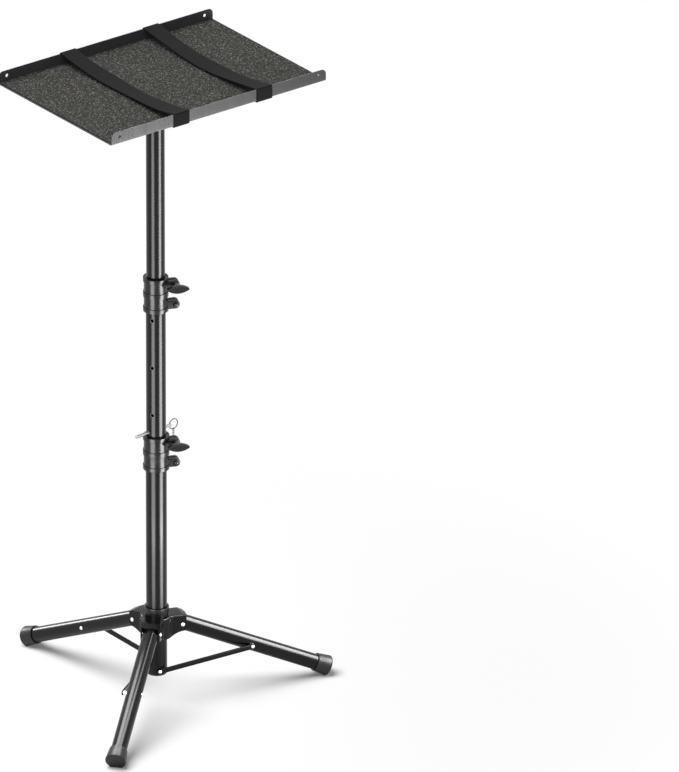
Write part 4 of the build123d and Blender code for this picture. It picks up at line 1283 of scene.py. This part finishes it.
def make_tray_screws(node="tray_screws"):
    """Domed screw heads under the tray's flange, at the corners of the node's box."""
    low, high = node_box(node)
    seat = low[2] + TRAY_SCREW_HEIGHT
    head = dome_profile(TRAY_SCREW_RADIUS, TRAY_SCREW_HEIGHT, TRAY_SCREW_SHANK, high[2] - seat)
    screws = []
    for x in (low[0] + TRAY_SCREW_RADIUS, high[0] - TRAY_SCREW_RADIUS):
        for y in (low[1] + TRAY_SCREW_RADIUS, high[1] - TRAY_SCREW_RADIUS):
            screws.append(lathe(head, np.array([x, y, seat]), -UP, RIVET_SEGMENTS))
    piece(node, screws, STEEL)


# Build

for tube in ("lower_tube", "upper_tube"):
    make_plain_tube(tube)
make_drilled_tube()
make_tube_end_cap()
make_collar("lower", "lower_tube", "mid_tube")
make_collar("upper", "mid_tube", "upper_tube")
for collar in ("lower", "upper"):
    make_collar_hardware(collar)
    make_knob(collar)
make_lock_pin()
make_hub()
for leg in LEGS:
    make_leg(leg)
    make_foot(leg)
    make_brace(leg)
make_brace_studs()
make_tray_plate()
make_tray_mat()
welded_copy("tray_flange", PLASTIC, FLANGE_EDGE)
make_tray_screws()
for strap, strap_drift in STRAP_DRIFTS.items():
    make_strap(strap, strap_drift)


# Camera; the view's azimuth counts from the stand's front, which faces -Y

PHOTO_SIZE = (679, 772)
COLUMN_FOOT_PIXEL = (156, 696)
PIXELS_PER_METRE = 590.3
VIEW_AZIMUTH = -37
CAMERA_AZIMUTH = VIEW_AZIMUTH - 90
VIEW_ELEVATION = 24.5
VIEW_DISTANCE = 50
SCALE_HEIGHT = 0.56
SENSOR = 36


def make_camera():
    """Long lens at the photograph's viewing angle, aimed so that the column's foot falls on its pixel.

    The scale holds at a height on the column.
    """
    azimuth, elevation = math.radians(VIEW_AZIMUTH), math.radians(VIEW_ELEVATION)
    level = math.cos(elevation)
    back = Vector((math.sin(azimuth) * level, -math.cos(azimuth) * level, math.sin(elevation)))
    right = Vector((math.cos(azimuth), math.sin(azimuth), 0))
    up = back.cross(right)
    shift_right = (PHOTO_SIZE[0] / 2 - COLUMN_FOOT_PIXEL[0]) / PIXELS_PER_METRE
    shift_up = (COLUMN_FOOT_PIXEL[1] - PHOTO_SIZE[1] / 2) / PIXELS_PER_METRE
    aim = Vector(COLUMN) + right * shift_right + up * shift_up
    lens = bpy.data.cameras.new("camera")
    lens.sensor_width = SENSOR
    depth = VIEW_DISTANCE - SCALE_HEIGHT * back.z
    lens.lens = PIXELS_PER_METRE * SENSOR * depth / max(PHOTO_SIZE)
    lens.clip_end = 3 * VIEW_DISTANCE
    camera = new_object("camera", lens)
    camera.location = aim + back * VIEW_DISTANCE
    camera.rotation_mode = "QUATERNION"
    camera.rotation_quaternion = (-back).to_track_quat("-Z", "Y")
    bpy.context.scene.camera = camera


# Floor and light, in metres, degrees and radiance

WHITE = (1, 1, 1, 1)
FLOOR_PAPER = (0.92, 0.92, 0.92, 1)
FLOOR_HALF = 40
FLOOR_SHADE_REACH = (0.40, 1.0)
FLOOR_WHITE_SHARE = (0.12, 1)
CARD_AZIMUTHS = (150, 238, 343)
CARD_REACH = (12 * MM, 60 * MM)
CARD_HEIGHTS = (0.18, 1.08)
SURROUND_LIGHT = 0.15

# Strips by turn from the camera, distance, height, size across and up, and radiance
STRIPS = {
    "left_strip": (-31, 0.8, 0.42, (0.46, 0.88), 12.5),
    "right_strip": (57, 0.8, 0.42, (0.40, 0.88), 24),
}
LOW_STRIPS = {
    "left_low_strip": (-31, 0.36, 0.09, (0.20, 0.18), 10),
    "right_low_strip": (57, 0.36, 0.09, (0.18, 0.18), 16),
}

# Soft boxes by azimuth, elevation, distance, size across and up, and radiance
SOFT_BOX_AIM = 0.1
OVERHEAD = (143, 70, 5.2, (4.2, 4.2), 6.3)
FRONT_FILL = (250, 30, 4.0, (3.0, 3.0), 1.6)
HIGHLIGHT_BOXES = {
    "right_high": (("leg_1", "foot_1", "brace_1", "leg_hub"), (-34, 40, 4.0, (3.4, 1.0), 38)),
    "back_left": (("leg_2", "foot_2", "brace_2", "leg_hub"), (95, 17, 4.4, (1.0, 1.0), 25)),
    "front_leg_bar": (("leg_3", "foot_3", "brace_3"), (40, 87, 0.65, (0.9, 0.4), 15)),
    "hub_edges": (("leg_hub",), (290, 64, 3.0, (1.2, 1.2), 25)),
    "lip_edge": (("tray_plate",), (53, 35.6, 4.94, (2.0, 1.4), 8)),
}
STRIP_FREE = ("lower_knob", "upper_knob", "lock_pin", "pin_ring", "pin_chain", "tray_flange")


def seen_ray(owner):
    """1 for what the camera sees directly, in a reflection or through glass, and 0 for other light."""
    path = add_node(owner, "ShaderNodeLightPath").outputs
    seen = path["Is Camera Ray"]
    for ray in ("Is Glossy Ray", "Is Transmission Ray"):
        seen = combined(owner, "MAXIMUM", seen, path[ray])
    return seen


def plain_white(material):
    """A shader that shows as plain white, whatever the light."""
    return add_node(material, "ShaderNodeEmission", {"Color": WHITE, "Strength": 1.0}).outputs[0]


def show(material, shader_output):
    """Makes a shader the one that the material shows."""
    tree = material.node_tree
    tree.links.new(shader_output, tree.nodes["Material Output"].inputs["Surface"])


def stage_quads(name, points, material):
    """Part of the stage: every four points are the corners of a face."""
    mesh = bpy.data.meshes.new(name)
    faces = np.arange(len(points)).reshape(-1, 4)
    mesh.from_pydata(np.array(points, float).tolist(), [], faces.tolist())
    mesh.materials.append(material)
    made = new_object(name, mesh)
    return made


def make_floor():
    """Pale floor: lit white paper that also shows as plain white, more so away from the stand."""
    material, shader = new_finish(
        "floor_paper", Base_Color=FLOOR_PAPER, Roughness=1, Specular_IOR_Level=0
    )
    place = add_node(material, "ShaderNodeTexCoord").outputs["Object"]
    away = add_node(material, "ShaderNodeVectorMath", {0: place}, operation="LENGTH").outputs["Value"]
    share = spread(material, away, FLOOR_SHADE_REACH, FLOOR_WHITE_SHARE)
    share = combined(material, "MULTIPLY", share, seen_ray(material))
    mix = {0: share, 1: shader.outputs[0], 2: plain_white(material)}
    show(material, add_node(material, "ShaderNodeMixShader", mix).outputs[0])
    half = FLOOR_HALF
    return stage_quads(
        "floor", [(-half, -half, 0), (half, -half, 0), (half, half, 0), (-half, half, 0)], material
    )


def make_lamp(name, centre, aim, size, radiance):
    """A soft box that faces a point, with an even radiance over its face."""
    lamp = bpy.data.lights.new(name, "AREA")
    lamp.shape = "RECTANGLE"
    lamp.size, lamp.size_y = size
    lamp.energy = radiance * math.pi * size[0] * size[1]
    made = new_object(name, lamp)
    made.location = Vector(centre)
    made.rotation_mode = "QUATERNION"
    made.rotation_quaternion = (Vector(aim) - Vector(centre)).to_track_quat("-Z", "Y")
    made.visible_camera = False
    return made


def light_group(name, pieces, state):
    """Pieces that a lamp is linked to: these only with INCLUDE, all but these with EXCLUDE."""
    group = bpy.data.collections.new(name)
    for made in pieces:
        group.objects.link(made)
    for entry in group.collection_objects:
        entry.light_linking.link_state = state
    return group


def make_strips(strips, receivers):
    """Strips that lean back from the column on either side of the camera.

    A tube seen from above mirrors what lies below the horizon, so the strips start at floor level close
    to the column and lean by the view's elevation.
    """
    lean = math.tan(math.radians(VIEW_ELEVATION))
    made = []
    for name, (turn, distance, height, size, radiance) in strips.items():
        out, _, up = turned(CAMERA_AZIMUTH + turn)
        centre = COLUMN + out * distance + up * height
        aim = COLUMN + up * (height + distance * lean)
        made.append(make_lamp(name, centre, aim, size, radiance))
        made[-1].light_linking.receiver_collection = receivers
    return made


def make_soft_box(name, azimuth, elevation, distance, size, radiance):
    """Soft box that looks at the foot of the stand from an azimuth and an elevation."""
    aim = COLUMN + UP * SOFT_BOX_AIM
    out, _, up = turned(azimuth)
    rise = math.radians(elevation)
    centre = aim + distance * (out * math.cos(rise) + up * math.sin(rise))
    return make_lamp(name, centre, aim, size, radiance)


def shells(*nodes):
    """The pieces that stand for nodes."""
    return [bpy.data.objects[shell_name(node)] for node in nodes]


def make_lamps(floor):
    """Large boxes for the plain light, then strips and boxes that only draw the highlights.

    On the floor only the legs and the feet leave a shadow.
    """
    off_floor = light_group("off_floor", [floor], "EXCLUDE")
    for name, place in (("overhead", OVERHEAD), ("front_fill", FRONT_FILL)):
        make_soft_box(name, *place).light_linking.receiver_collection = off_floor
    feet = shells(*(f"{kind}_{number}" for kind in ("leg", "foot") for number in LEGS))
    over_floor = make_soft_box("over_floor", *OVERHEAD).light_linking
    over_floor.receiver_collection = light_group("on_floor", [floor], "INCLUDE")
    shaded_by_legs = light_group("shaded_by_legs", feet, "INCLUDE")
    over_floor.blocker_collection = shaded_by_legs
    off_strips = light_group("off_strips", [floor, *feet, *shells(*STRIP_FREE)], "EXCLUDE")
    highlights = make_strips(STRIPS, off_strips)
    highlights += make_strips(LOW_STRIPS, light_group("on_low_strips", shells("lower_tube"), "INCLUDE"))
    for name, (nodes, place) in HIGHLIGHT_BOXES.items():
        made = make_soft_box(name, *place)
        made.light_linking.receiver_collection = light_group(f"on_{name}", shells(*nodes), "INCLUDE")
        made.light_linking.blocker_collection = shaded_by_legs
        highlights.append(made)
    for made in highlights:
        made.visible_diffuse = False


def make_side_cards():
    """White cards that stand out from the column, as bright as the surround; only reflections show them.

    They keep a side of the column that is seen at a glancing angle from mirroring a strip.
    """
    material, shader = new_finish("white_card")
    material.cycles.emission_sampling = "NONE"
    show(material, plain_white(material))
    material.node_tree.nodes.remove(shader)
    (near, far), (low, high) = CARD_REACH, CARD_HEIGHTS
    corners = ((near, low), (far, low), (far, high), (near, high))
    points = []
    for azimuth in CARD_AZIMUTHS:
        out, _, up = turned(azimuth)
        points += [COLUMN + out * reach + up * height for reach, height in corners]
    cards = stage_quads("side_cards", points, material)
    for ray in ("camera", "diffuse", "transmission", "volume_scatter", "shadow"):
        setattr(cards, f"visible_{ray}", False)


def make_surround():
    """White surround that the camera sees directly and in reflections, and that lights only dimly."""
    world = bpy.data.worlds.new("surround")
    world.use_nodes = True
    surround = world.node_tree.nodes["Background"]
    surround.inputs["Color"].default_value = WHITE
    strength = spread(world, seen_ray(world), WHOLE_SPAN, (SURROUND_LIGHT, 1))
    world.node_tree.links.new(strength, surround.inputs["Strength"])
    bpy.context.scene.world = world


make_camera()
make_lamps(make_floor())
make_side_cards()
make_surround()
bpy.context.scene.view_settings.view_transform = "Standard"
